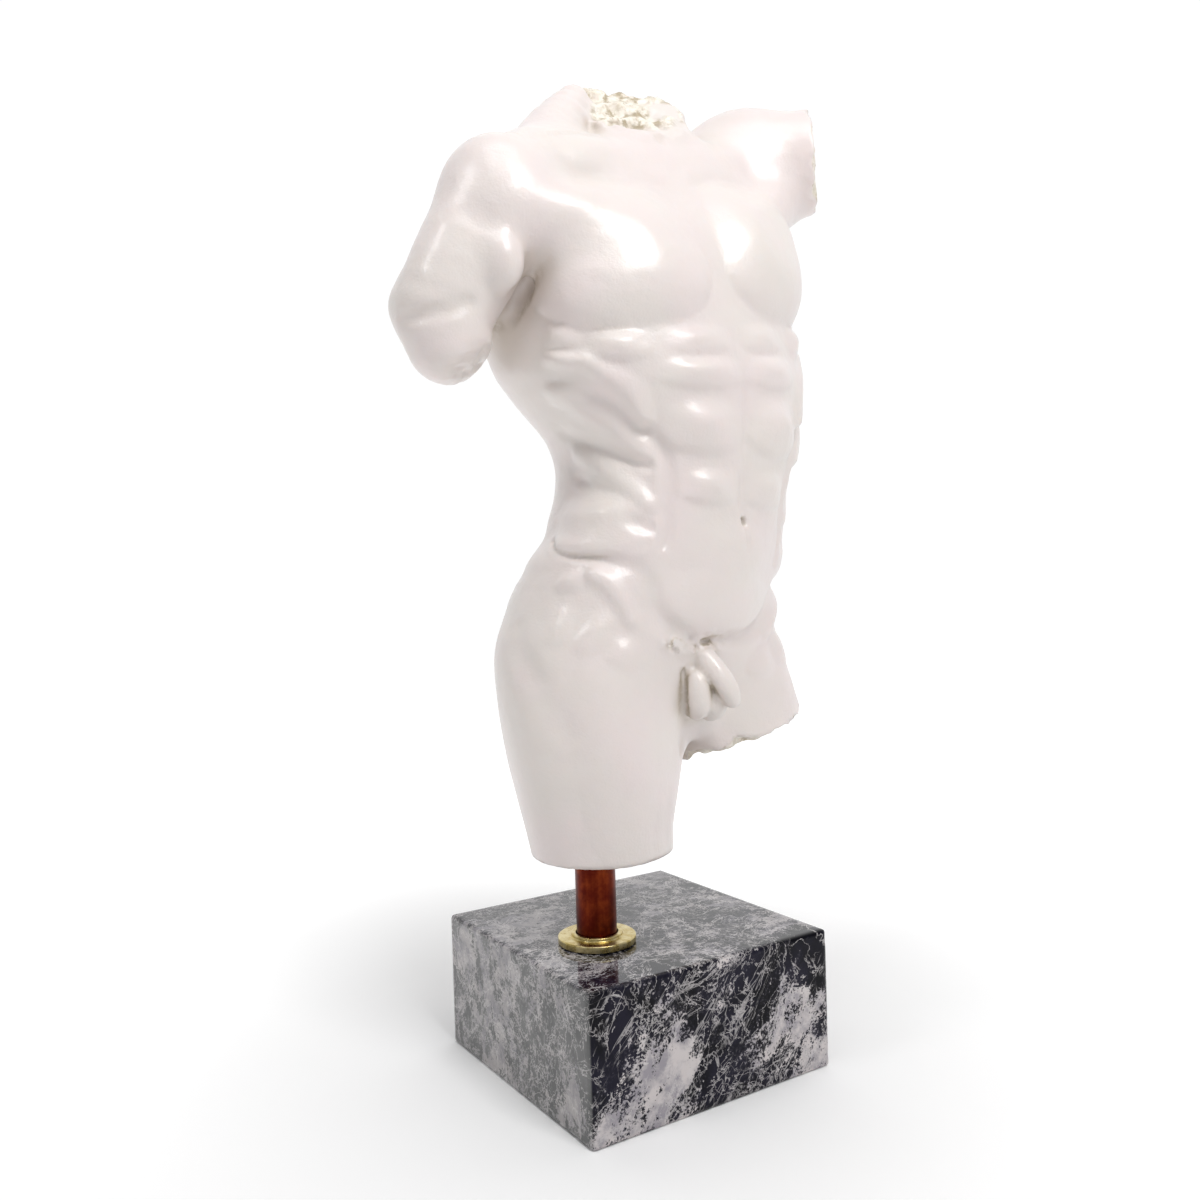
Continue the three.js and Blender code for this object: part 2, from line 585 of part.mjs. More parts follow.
// Whether the surface may pass within a block's half diagonal of the block's middle
function mayCross(field, low, cell, i, j, k) {
  const half = (BLOCK_STEPS * cell) / 2;
  const value = field(low[0] + i * cell + half, low[1] + j * cell + half, low[2] + k * cell + half);
  return { value, near: Math.abs(value) < half * BLOCK_MARGIN };
}

// A net of four-sided faces over the surface of a field, one vertex for each sheet in each cell
function surfaceNet(field, low, high, cell) {
  const count = AXES.map((k) => BLOCK_STEPS * Math.ceil((high[k] - low[k]) / cell / BLOCK_STEPS) + 1);
  const stride = [1, count[0], count[0] * count[1]];
  const samples = new Float64Array(count[0] * count[1] * count[2]).fill(FAR_OUTSIDE);
  const known = new Uint8Array(samples.length);
  const cells = [];
  const takeBlock = (i0, j0, k0) => {
    const { value, near } = mayCross(field, low, cell, i0, j0, k0);
    for (let k = k0; k <= k0 + BLOCK_STEPS; k += 1) {
      for (let j = j0; j <= j0 + BLOCK_STEPS; j += 1) {
        for (let i = i0; i <= i0 + BLOCK_STEPS; i += 1) {
          const at = i + j * stride[1] + k * stride[2];
          if (near && !known[at]) {
            samples[at] = field(low[0] + i * cell, low[1] + j * cell, low[2] + k * cell);
            known[at] = 1;
          }
          if (!near && !known[at]) samples[at] = value;
          const inBlock = i < i0 + BLOCK_STEPS && j < j0 + BLOCK_STEPS && k < k0 + BLOCK_STEPS;
          if (near && inBlock) cells.push([i, j, k, at]);
        }
      }
    }
  };
  for (let k = 0; k < count[2] - 1; k += BLOCK_STEPS) {
    for (let j = 0; j < count[1] - 1; j += BLOCK_STEPS) {
      for (let i = 0; i < count[0] - 1; i += BLOCK_STEPS) takeBlock(i, j, k);
    }
  }
  const offsets = [...Array(8).keys()].map((c) => (
    AXES.reduce((sum, axis) => sum + ((c >> axis) & 1) * stride[axis], 0)
  ));
  const vertices = [];
  const quads = new Map();
  for (const [i, j, k, at] of cells) {
    const values = offsets.map((offset) => samples[at + offset]);
    const below = values.filter((value) => value < 0).length;
    if (below === 0 || below === 8) continue;
    const owner = loopsInCell(values);
    for (const loop of new Set(owner.filter((value) => value >= 0))) {
      const crossings = [];
      CUBE_EDGES.forEach(({ axis, from, to, slot }, edge) => {
        if (owner[edge] !== loop) return;
        const share = values[from] / (values[from] - values[to]);
        crossings.push(AXES.map((a) => ((from >> a) & 1) + (a === axis ? share : 0)));
        const key = 3 * (at + offsets[from]) + axis;
        if (!quads.has(key)) quads.set(key, { ring: [], flip: values[from] >= 0 });
        quads.get(key).ring[slot] = vertices.length;
      });
      vertices.push([i, j, k].map((index, a) => {
        const mean = crossings.reduce((sum, point) => sum + point[a], 0) / crossings.length;
        return low[a] + (index + mean) * cell;
      }));
    }
  }
  vertices.forEach((vertex) => settle(field, vertex, cell / 2));
  return { vertices, quads: [...quads.values()] };
}

function subtract(a, b) {
  return [a[0] - b[0], a[1] - b[1], a[2] - b[2]];
}

function crossProduct(a, b) {
  return [a[1] * b[2] - a[2] * b[1], a[2] * b[0] - a[0] * b[2], a[0] * b[1] - a[1] * b[0]];
}

function dot(a, b) {
  return a[0] * b[0] + a[1] * b[1] + a[2] * b[2];
}

// A face's normal, as long as twice its area
function normalOf(a, b, c) {
  return crossProduct(subtract(b, a), subtract(c, a));
}

// The squared distance from a face's plane as ten factors, weighted by the face's area
function planeError(a, b, c) {
  const normal = normalOf(a, b, c);
  const area = Math.max(Math.hypot(...normal), TINY);
  const [x, y, z] = normal.map((value) => value / area);
  const w = -dot([x, y, z], a);
  return [x * x, x * y, x * z, x * w, y * y, y * z, y * w, z * z, z * w, w * w].map((v) => v * area);
}

function errorAt(q, [x, y, z]) {
  return q[0] * x * x + q[4] * y * y + q[7] * z * z + q[9]
    + 2 * (q[1] * x * y + q[2] * x * z + q[5] * y * z + q[3] * x + q[6] * y + q[8] * z);
}

// The spot with the least error, or the middle of the edge where that spot lies too far away
function bestSpot(q, a, b) {
  const middle = AXES.map((k) => (a[k] + b[k]) / 2);
  const rows = [[q[0], q[1], q[2]], [q[1], q[4], q[5]], [q[2], q[5], q[7]]];
  const across = crossProduct(rows[1], rows[2]);
  const size = dot(rows[0], across);
  if (Math.abs(size) < FLATTEST) return middle;
  const right = [-q[3], -q[6], -q[8]];
  const spot = [
    dot(right, across) / size,
    dot(right, crossProduct(rows[2], rows[0])) / size,
    dot(right, crossProduct(rows[0], rows[1])) / size,
  ];
  const moved = Math.hypot(...subtract(spot, middle));
  return moved < Math.hypot(...subtract(a, b)) ? spot : middle;
}

// Draws in the edges that change the shape least until few enough faces are left
function thinOut(vertices, triangles, wanted) {
  const errors = vertices.map(() => new Array(10).fill(0));
  for (const face of triangles) {
    const error = planeError(...face.map((v) => vertices[v]));
    for (const v of face) error.forEach((value, k) => { errors[v][k] += value; });
  }
  let faces = triangles;
  while (faces.length > wanted) {
    const left = thinOnce(vertices, errors, faces, wanted);
    if (left.length === faces.length) break;
    faces = left;
  }
  return faces;
}

// One pass, in which no two drawn-in edges lie side by side
function thinOnce(vertices, errors, faces, wanted) {
  const around = vertices.map(() => []);
  faces.forEach((face, f) => face.forEach((v) => around[v].push(f)));
  const edges = [];
  for (const face of faces) {
    face.forEach((a, k) => {
      const b = face[(k + 1) % 3];
      if (a > b) return;
      const q = errors[a].map((value, i) => value + errors[b][i]);
      const spot = bestSpot(q, vertices[a], vertices[b]);
      edges.push({ a, b, q, spot, cost: errorAt(q, spot) });
    });
  }
  edges.sort((one, other) => one.cost - other.cost);
  const busy = new Uint8Array(vertices.length);
  const gone = new Uint8Array(faces.length);
  let left = faces.length;
  for (const { a, b, q, spot } of edges.slice(0, Math.ceil(edges.length / PASS_SHARE))) {
    if (left <= wanted) break;
    if (busy[a] || busy[b]) continue;
    const shared = around[a].filter((f) => around[b].includes(f));
    const nearA = new Set(around[a].flatMap((f) => faces[f]));
    const nearB = new Set(around[b].flatMap((f) => faces[f]));
    const common = [...nearA].filter((v) => nearB.has(v));
    if (shared.length !== 2 || common.length !== 4) continue;
    const rest = [...around[a], ...around[b]].filter((f) => !shared.includes(f));
    if (rest.some((f) => turnsOver(vertices, faces[f], a, b, spot))) continue;
    vertices[a] = spot;
    errors[a] = q;
    for (const f of around[b]) faces[f] = faces[f].map((v) => (v === b ? a : v));
    for (const f of shared) gone[f] = 1;
    for (const v of [...nearA, ...nearB]) busy[v] = 1;
    left -= 2;
  }
  return faces.filter((_, f) => !gone[f]);
}

// Whether a face would turn far from its old normal, or grow too thin, with its corner moved
function turnsOver(vertices, face, a, b, spot) {
  const old = face.map((v) => vertices[v]);
  const now = face.map((v) => (v === a || v === b ? spot : vertices[v]));
  const before = normalOf(...old);
  const after = normalOf(...now);
  const sides = now.map((point, k) => Math.hypot(...subtract(point, now[(k + 1) % 3])));
  const area = Math.hypot(...after);
  if (area < THINNEST * Math.max(...sides) ** 2) return true;
  return dot(before, after) < MOST_TURN * Math.hypot(...before) * area;
}

function netGeometry({ vertices, quads }, wanted, scale) {
  const span = (a, b) => Math.hypot(...subtract(vertices[a], vertices[b]));
  const triangles = quads.flatMap(({ ring, flip }) => {
    const [a, b, c, d] = flip ? [...ring].reverse() : ring;
    return span(a, c) < span(b, d) ? [[a, b, c], [a, c, d]] : [[a, b, d], [b, c, d]];
  });
  const kept = thinOut(vertices, triangles, wanted);
  const geometry = new THREE.BufferGeometry();
  const positions = vertices.flat().map((value) => value * scale);
  geometry.setAttribute("position", new THREE.Float32BufferAttribute(positions, 3));
  geometry.setIndex(kept.flat());
  return geometry;
}

function toSolid(geometry) {
  const bare = geometry.clone();
  bare.deleteAttribute("normal");
  bare.deleteAttribute("uv");
  const welded = mergeVertices(bare);
  return new wasm.Manifold(new wasm.Mesh({
    numProp: 3,
    vertProperties: new Float32Array(welded.attributes.position.array),
    triVerts: new Uint32Array(welded.index.array),
  }));
}

function toGeometry(solid) {
  const mesh = solid.getMesh();
  const geometry = new THREE.BufferGeometry();
  geometry.setAttribute("position", new THREE.BufferAttribute(mesh.vertProperties, 3));
  geometry.setIndex(new THREE.BufferAttribute(mesh.triVerts, 1));
  geometry.computeVertexNormals();
  return geometry;
}

function named(name, geometry, look) {
  const mesh = new THREE.Mesh(geometry, new THREE.MeshStandardMaterial(look));
  mesh.name = name;
  return mesh;
}

// An upright cylinder from one level to another
function uprightCylinder(radius, from, to) {
  const geometry = new THREE.CylinderGeometry(radius, radius, to - from, POST_SIDES);
  geometry.rotateX(Math.PI / 2);
  geometry.translate(0, 0, (from + to) / 2);
  return geometry;
}

function makeTorso() {
  const scale = TORSO_HEIGHT / FORM_HEIGHT;
  const net = surfaceNet(figure(), FORM_LOW, FORM_HIGH, FORM_HEIGHT / CELLS_HIGH);
  const solid = toSolid(netGeometry(net, TORSO_FACES, scale));
  const socket = uprightCylinder(POST_DIAMETER / 2 + FIT, -POST_SHOWN / 2, POST_IN_TORSO + FIT);
  return named("torso", toGeometry(solid.subtract(toSolid(socket))), MARBLE_WHITE);
}

function makePost() {
  const radius = POST_DIAMETER / 2;
  const top = PLINTH_HEIGHT + POST_SHOWN + POST_IN_TORSO;
  return named("copper_post", uprightCylinder(radius, PLINTH_HEIGHT - POST_IN_PLINTH, top), COPPER);
}

function makeCollar() {
  const inner = POST_DIAMETER / 2 + FIT;
  const outer = COLLAR_DIAMETER / 2;
  const lip = inner + LIP_WALL;
  const top = COLLAR_THICKNESS;
  const r = COLLAR_ROUNDING;
  const profile = [
    [inner, 0], [outer - r, 0], [outer, r], [outer, top - r], [outer - r, top],
    [lip + r, top], [lip, top + r], [lip, top + LIP_RISE - r], [lip - r, top + LIP_RISE],
    [inner, top + LIP_RISE], [inner, 0],
  ].map(([x, y]) => new THREE.Vector2(x, y));
  const geometry = new THREE.LatheGeometry(profile, COLLAR_SIDES);
  geometry.rotateX(Math.PI / 2);
  return named("brass_collar", toGeometry(toSolid(geometry)), BRASS);
}

function makePlinth() {
  const half = PLINTH_SIDE / 2 - PLINTH_EDGE;
  const outline = new THREE.Shape();
  AROUND.forEach(([u, v], i) => {
    const [x, y] = [(2 * u - 1) * half, (2 * v - 1) * half];
    if (i === 0) outline.moveTo(x, y);
    else outline.lineTo(x, y);
  });
  outline.closePath();
  const block = new THREE.ExtrudeGeometry(outline, {
    depth: PLINTH_HEIGHT - 2 * PLINTH_EDGE,
    bevelSize: PLINTH_EDGE,
    bevelThickness: PLINTH_EDGE,
    bevelSegments: EDGE_STEPS,
  });
  block.translate(0, 0, PLINTH_EDGE);
  const hole = uprightCylinder(
    POST_DIAMETER / 2 + FIT, PLINTH_HEIGHT - POST_IN_PLINTH - FIT, PLINTH_HEIGHT + PLINTH_EDGE,
  );
  hole.translate(POST_X, POST_Y, 0);
  const solid = toSolid(block).subtract(toSolid(hole));
  return named("marble_plinth", toGeometry(solid), MARBLE_GREY);
}

function makeSculpture() {
  const sculpture = new THREE.Group();
  const plinth = makePlinth();
  const onPost = new THREE.Group();
  onPost.position.set(POST_X, POST_Y, 0);
  const torso = makeTorso();
  torso.position.z = PLINTH_HEIGHT + POST_SHOWN;
  torso.rotation.z = THREE.MathUtils.degToRad(TORSO_TURN);
  const collar = makeCollar();
  collar.position.z = PLINTH_HEIGHT + FIT;
  onPost.add(torso, makePost(), collar);
  sculpture.add(plinth, onPost);
  return sculpture;
}

export default makeSculpture();
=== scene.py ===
import math

import bpy
import numpy as np
from mathutils import Matrix, Vector


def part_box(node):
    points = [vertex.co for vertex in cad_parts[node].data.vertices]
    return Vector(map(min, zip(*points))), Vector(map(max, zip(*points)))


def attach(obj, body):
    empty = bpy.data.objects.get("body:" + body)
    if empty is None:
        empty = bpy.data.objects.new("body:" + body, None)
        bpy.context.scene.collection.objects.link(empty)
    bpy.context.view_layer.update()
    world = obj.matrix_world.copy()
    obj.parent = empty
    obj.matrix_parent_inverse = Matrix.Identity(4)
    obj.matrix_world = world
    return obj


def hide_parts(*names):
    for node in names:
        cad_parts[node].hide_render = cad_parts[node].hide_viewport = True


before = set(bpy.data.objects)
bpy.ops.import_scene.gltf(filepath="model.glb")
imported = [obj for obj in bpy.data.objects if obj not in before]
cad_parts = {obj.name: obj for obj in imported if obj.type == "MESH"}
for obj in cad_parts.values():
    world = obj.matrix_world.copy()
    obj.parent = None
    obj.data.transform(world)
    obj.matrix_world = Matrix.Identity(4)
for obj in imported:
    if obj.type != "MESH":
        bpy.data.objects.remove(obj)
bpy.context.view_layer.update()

MM = 0.001
CLEARANCE = 0.3  # gap around the post in millimetres
TORSO_TURN = math.radians(15)
FORM_HEIGHT = 295.5
NET_CELL = 1.36  # side of the net's cells, in the form's units
NET_BLOCK = 8  # fine cells along one coarse cell
NET_LOW = (-86, -76, -3)
NET_HIGH = (140, 72, 306)
NET_BATCH = 400000  # points worked out at a time
HOT_REACH = 1.35  # coarse corners this near the surface, in coarse cells, get fine cells
FAR = 60.0  # distance given to places that no shape has reached yet
OUTSIDE = 1e3  # field value of cells nowhere near the surface
TINY = 1e-9  # keeps divisions away from zero

# The form

# Rings: level, middle x, middle y, half width, depth to the front, depth to the back,
# side slope, turn in degrees, angle of the middle line
TRUNK_RINGS = [
    [40, 28, 3, 44, 30, 34, -0.12, -4, 8],
    [60, 29, 1.5, 49, 35, 40, -0.12, -4, 8],
    [78, 30.8, -1, 50.8, 38, 42, -0.12, -5, 5],
    [92, 33, -3, 52.6, 38.5, 43, -0.12, -5, 2],
    [103, 34.2, -5, 52, 37.5, 41, -0.11, -5, 0],
    [114, 36.5, -8, 48, 37.5, 40, -0.09, -5, 0],
    [122, 37, -9, 47, 37.5, 39, -0.06, -6, 0],
    [132, 38, -10.5, 46, 37.5, 38.5, -0.03, -7, 1],
    [143, 40, -11.3, 47.5, 39, 39, 0, -8, 3],
    [153, 40, -11, 50.5, 40.5, 39.5, 0.03, -8, 4],
    [166, 38, -9, 56, 43, 40, 0.07, -6, 4],
    [175, 36.5, -7.5, 59.5, 44.5, 42, 0.1, -5, 4],
    [183, 35, -6, 61.5, 45, 43, 0.12, -5, 4],
    [196, 34.5, -5, 61.5, 44, 45, 0.13, -5, 5],
    [212, 34.3, -4.5, 59.6, 42, 45, 0.14, -6, 8],
    [226, 34.6, -3, 57.4, 39.5, 43, 0.16, -7, 12],
    [240, 36, 1, 54, 36, 38, 0.18, -8, 14],
    [252, 37, 4, 44, 30, 31, 0.18, -8, 14],
    [264, 38, 6, 30, 22, 21, 0.18, -8, 14],
]
RIGHT_THIGH_RINGS = [
    [-10, 4, -1, 26, 24, 24.5, 0, 0, 0],
    [0, 3.6, -1, 26.6, 25, 25.5, 0, 0, 0],
    [10, 2, -0.5, 26.7, 26.5, 26.5, 0, 0, 0],
    [22, 1.4, 0, 28.6, 29, 28.5, 0, 0, 0],
    [38, 0.9, 0.5, 31.4, 31.5, 31, 0, 0, 0],
    [58, 0.9, 2, 32.7, 32.5, 33, 0, 0, 0],
    [78, 2, 3, 31, 31, 35, 0, 0, 0],
    [98, 8, 2, 27, 26, 33, 0, 0, 0],
]
LEFT_THIGH_RINGS = [
    [20, 69, -10, 32, 33, 32, 0, 0, 0],
    [45, 66, -9.5, 33, 33, 33, 0, 0, 0],
    [65, 61, -7, 33, 32.5, 36, 0, 0, 0],
    [85, 56, -5, 32, 30, 36, 0, 0, 0],
    [100, 52, -4, 27, 26, 32, 0, 0, 0],
]
TRUNK_POWER = 2.3  # squareness of the rings, 2 for an ellipse
THIGH_POWER = 2.1
TRUNK_RADIUS = 46  # turns an angle of the relief into a width
THIGH_RADIUS = 31
END_ROUNDING = 6.0
DEEPEST = -20.0  # the lofts' distance isn't needed further inside than this

# Swellings: angle from the front towards the figure's right, level, half width, half height,
# rise, tilt in degrees, squareness, softness of the edge
PAIRED_SWELLINGS = [
    [44, 222, 31.5, 30, 8.4, 6, 2.8, 0.66],  # breast
    [20, 186.5, 14.5, 6, 2, 0, 2.3, 1],  # straight belly muscle, top to bottom
    [22, 174.5, 19, 7, 3, 0, 2.3, 1],
    [24, 155, 19.5, 12, 4.2, 0, 2.3, 1],
    [21, 133, 17.5, 8, 3.2, 0, 2.3, 1],
    [52, 186.5, 9.5, 6.8, 2.8, -6, 2.4, 1],  # rib arch
    [71, 192, 6.5, 5.6, 2.2, 0, 2.6, 1],  # saw muscle, three teeth
    [72, 183, 8.5, 4.8, 2.6, -26, 2.3, 1],
    [79, 170, 9.5, 6, 2.8, -18, 2.3, 1],
    [76, 118.5, 23, 14.5, 3.6, 0, 3.2, 0.8],  # roll of the flank over the hip
    [57, 117.5, 8, 4, -1.4, -25, 2.2, 1],
    [87, 136, 7, 3.6, -1.5, -20, 2.2, 1],  # hollow of the waist
    [76.5, 95.5, 6, 5, 1.6, 0, 2.2, 1],  # hip bone
    [72, 79, 6, 8, 1.4, 10, 2.2, 1],
    [58, 78, 6, 9, 1.6, -8, 2.2, 1],
    [44, 71, 8, 6, 1.6, -30, 2.2, 1],
    [113, 196, 24, 42, 3.5, 14, 2.4, 1],  # broad back muscle
    [144, 222, 26, 30, 3.5, 15, 2.4, 1],  # shoulder blade
    [162, 128, 14, 44, 2.2, 0, 2.4, 1],  # long back muscle
]
MIDDLE_SWELLINGS = [
    [0, 101, 33, 24, 4.6, 0, 2.6, 0.9],  # lower belly
    [0, 88, 18, 9, 1.2, 0, 2.4, 1],
    [-3, 121, 2.6, 2.4, -3.5, 0, 2, 1],  # navel
]
THIGH_SWELLINGS = [
    [88, 42, 18, 48, 1.4, 0, 2.4, 1],
    [30, 40, 17, 50, 1.6, 4, 2.4, 1],
    [-38, 34, 12, 36, 1.6, -4, 2.4, 1],
]

# Bands and furrows: the rise, then points of angle, level and half width
PAIRED_BANDS = [
    [2.4, [64, 181, 5], [61, 176, 6], [56, 171, 6.8], [52.5, 165, 6.6], [50.5, 158, 5]],  # ribs
    [-1, [66, 168, 4], [59, 162, 4.4], [52, 153, 4]],
    [1.8, [75, 164, 6], [67, 158, 7], [60, 151, 7], [54, 145, 6]],
    [-1.2, [89, 156, 4.4], [73, 149, 4.6], [63, 144, 4.4], [52, 140, 4]],
    [1.8, [84, 146, 6], [72, 139, 7], [62, 132, 7], [53, 125, 6]],
    [0.8, [49, 141, 4.4], [48.5, 134.5, 4.8], [48, 127, 4.4]],  # edge of the slanting muscle
    [-1.3, [50, 154, 4], [44, 143, 4.6], [44, 130, 4.8], [45, 120, 4.6], [45, 110, 4]],
    [0.7, [90, 111, 3.4], [71, 107.5, 3.6], [54.5, 107, 4], [49, 109, 4], [49, 119, 4]],  # rim
    [1, [72, 124, 4.6], [74, 115, 4.6], [77, 110, 4]],
    [0.9, [10, 250, 5], [33, 251, 6], [58, 252, 6], [76, 250, 5]],  # collar bone
    [-1.6, [100, 112, 1.8], [92, 107.5, 2], [80, 104.5, 2.2], [69, 103.6, 3], [60, 102, 4.4],
     [52, 100, 5], [45, 94.5, 6], [42, 89, 6.4], [35, 83.5, 6], [25, 79.8, 5], [13, 78, 4],
     [0, 77.5, 3.6]],  # fold over the hip
    [1.8, [68, 98, 4], [60, 94, 4.6], [52, 88, 4.4], [46, 82, 4]],  # groin
    [-0.8, [92, 78, 5], [84, 70, 6], [72, 60, 6]],
]
MIDDLE_BANDS = [
    [-0.8, [0, 168, 4], [0, 160, 5], [0, 144, 5], [0, 126, 4]],  # seam of the belly
    [-0.8, [-3, 119, 2.4], [-4, 112, 2.6]],
    [-2.6, [178, 235, 9], [179, 210, 11], [180, 170, 11], [180, 130, 11], [180, 106, 8]],
]
THIGH_BANDS = [[-0.9, [100, 76, 9], [80, 66, 10], [62, 50, 8]]]

# Limbs and cords of muscle: points of x, y, z and radius
RIGHT_ARM = [[-34, 5, 231, 19], [-45, 7, 213, 18.5], [-52.5, 12, 194.5, 17], [-52, 11.5, 183.5, 14.6]]
LEFT_ARM = [[88, -4, 268, 22], [98, -20, 271, 21], [112, -44, 271.5, 20.5]]
NECK = [[36, 8, 240, 22], [35, 3, 260, 20.5], [33, -1, 280, 20.5], [31, -3, 304, 20.5]]
RIGHT_NAPE = [[15, 13.5, 284, 6.5], [4, 13, 268, 12], [-16, 8, 248, 12]]
LEFT_NAPE = [[46, 10, 276, 12], [66, 4, 264.5, 13], [86, -4, 270, 14]]
THROAT = [[46.8, -3.6, 278.5, 7.6], [44, -11, 264, 7], [39, -17, 252, 5.5]]
RIGHT_COLLAR_BONE = [[26, -10, 249, 11], [2, -9, 247, 13], [-22, -2, 243, 14]]
LEFT_COLLAR_BONE = [[48, -15, 254, 10], [66, -15, 260, 11], [86, -14, 264, 13]]
RIGHT_ARMPIT_FRONT = [[0, -22, 220, 13], [-18, -16, 223, 14], [-38, -5, 226, 14]]
LEFT_ARMPIT_FRONT = [[64, -32, 232, 12], [78, -26, 243, 13], [93, -22, 257, 15]]
RIGHT_ARMPIT_BACK = [[2, 18, 178, 12], [-14, 17, 196, 13], [-36, 13, 215, 13]]
LEFT_ARMPIT_BACK = [[74, 18, 196, 12], [83, 12, 220, 13], [93, 3, 248, 14]]
ARM_CREASE = [[-70, 14, 189, 0.3], [-67.6, 5, 189, 1], [-62.4, -1.8, 190.8, 1], [-56.3, -5, 193, 0.3]]

# Carved lines: the slit between the thigh and the scrotum, and the pit under the right arm
GROIN_SLIT = [[14, -33, 68, 0.8], [14.6, -33, 58, 1.3], [16, -31, 46, 1.4], [18, -28, 37, 1]]
ARMPIT_PIT = [[-29, -2.6, 203.5, 3], [-29.5, 1.4, 199, 3.2], [-30.5, 5.6, 191, 2], [-34, 5, 184, 1]]
BUTTOCK_CLEFT = [[29, 50, 92, 2], [28, 50, 74, 6], [28, 46, 50, 8], [28, 40, 30, 8]]
SHAFT = [[22, -37, 71.5, 4.4], [23, -41.5, 66.5, 4.2], [24.8, -44.5, 61, 4], [26.2, -45.5, 57, 3.2]]

# Lumps: middle, radii and lean about Y in degrees
RIGHT_SHOULDER = [[-35, 2, 232], [20, 21, 22], -18]
LEFT_SHOULDER = [[91, -10, 270], [22, 24, 25], 10]
BICEPS = [[-46, -10.5, 207.5], [6.5, 6.5, 9], -10]
TRICEPS = [[-58, 19, 196], [9, 12, 10], 0]
UPPER_BACK = [[[18, 15, 244], [32, 15, 19], 12], [[64, 12, 252], [32, 15, 20], -12]]
RIGHT_BUTTOCK = [[7, 22, 62], [22, 21, 27], 0]
LEFT_BUTTOCK = [[56, 20, 62], [26, 21, 26], 0]
STONES = [[[18.5, -34.5, 59], [4.8, 6.5, 9.5], -6], [[26, -36, 56.5], [5.4, 7, 8], 6]]

# The band of short curls under the belly, and the size and height of its locks
CURLS = [[18.5, -36.5, 77.5], [19, 12, 5.5], 0]
CURL_LOCKS = [2.6, 1.3]

# Breaks: a point on each and the way that it faces
NECK_BREAK = [[20.6, -5, 270.6], [-0.37, -0.66, 0.65]]
NECK_TOP = [[30, 4, 292.5], [0.1, 0.1, 1]]
LEFT_ARM_BREAK = [[106, -35.5, 270], [0.56, -0.82, 0.04]]
RIGHT_ARM_BREAK = [[-46.5, 3, 177.6], [0.3, -0.62, -0.73]]
LEFT_THIGH_BREAK = [[64, -8, 37.2], [0.2, -0.17, -0.93]]

# How rough each break is: size and height of the knocks, coarse to fine
NECK_KNOCKS = [[9, 2.4], [4.5, 1.5], [2.4, 0.8]]
ARM_KNOCKS = [[8, 1.4], [3.6, 0.8]]
THIGH_KNOCKS = [[9, 2.2], [4, 1.4], [2.4, 0.6]]


def smooth_min(a, b, blend):
    h = np.maximum(blend - np.abs(a - b), 0.0) / blend
    return np.minimum(a, b) - h * h * blend * 0.25


def smooth_max(a, b, blend):
    return -smooth_min(-a, -b, blend)


class Loft:
    """A body through a stack of rings, with smooth curves from ring to ring."""

    def __init__(self, rings, power):
        rows = np.array(rings, float)
        self.levels = rows[:, 0]
        self.values = rows[:, 1:]
        before = np.maximum(np.arange(len(rows)) - 1, 0)
        after = np.minimum(np.arange(len(rows)) + 1, len(rows) - 1)
        rise = (self.levels[after] - self.levels[before])[:, None]
        self.slopes = (self.values[after] - self.values[before]) / rise
        self.power = power

    def ring(self, level):
        z = np.clip(level, self.levels[0], self.levels[-1])
        i = np.clip(np.searchsorted(self.levels, z, side="right") - 1, 0, len(self.levels) - 2)
        gap = (self.levels[i + 1] - self.levels[i])[:, None]
        t = (z - self.levels[i])[:, None] / gap
        near = (1 + 2 * t) * (1 - t) ** 2 * self.values[i] + t * (1 - t) ** 2 * gap * self.slopes[i]
        far = t * t * (3 - 2 * t) * self.values[i + 1] + t * t * (t - 1) * gap * self.slopes[i + 1]
        return near + far

    def locate(self, p):
        """Each point's level on the sloping rings, its ring, and x and y in that ring's frame."""
        flat = self.ring(p[:, 2])
        level = p[:, 2] - (p[:, 0] - flat[:, 0]) * flat[:, 5]
        ring = self.ring(level)
        turn = np.radians(ring[:, 6])
        dx = p[:, 0] - ring[:, 0]
        dy = p[:, 1] - ring[:, 1]
        x = dx * np.cos(turn) + dy * np.sin(turn)
        y = dy * np.cos(turn) - dx * np.sin(turn)
        return level, ring, x, y

    def distance(self, p):
        level, ring, x, y = self.locate(p)
        depth = np.where(y < 0, ring[:, 3], ring[:, 4])
        q = (np.abs(x / ring[:, 2]) ** self.power + np.abs(y / depth) ** self.power) ** (1 / self.power)
        side = np.hypot(x, y) * (1 - 1 / np.maximum(q, 0.001))
        capped = smooth_max(np.maximum(side, DEEPEST), self.levels[0] - level, END_ROUNDING)
        return smooth_max(capped, level - self.levels[-1], END_ROUNDING)


def smooth_path(points, steps):
    """A smooth path through rows of numbers, cut into short steps."""
    rows = np.array(points, float)
    rows = np.vstack([2 * rows[0] - rows[1], rows, 2 * rows[-1] - rows[-2]])
    path = []
    for i in range(1, len(rows) - 2):
        a, b, c, d = rows[i - 1:i + 3]
        for t in np.arange(steps) / steps:
            bend = (2 * a - 5 * b + 4 * c - d) * t * t + (3 * b - a - 3 * c + d) * t ** 3
            path.append(0.5 * (2 * b + (c - a) * t + bend))
    path.append(rows[-2])
    return np.array(path)


OVERLAP_SHARE = 0.25  # what the lower of two swellings still adds where they overlap
BACK_ANGLE = 2.3  # bands that start past this angle may cross the middle of the back
HANG = 1.6  # how soon a swelling's edge turns crisp below its middle
BAND_STEPS = 4
CORD_STEPS = 3


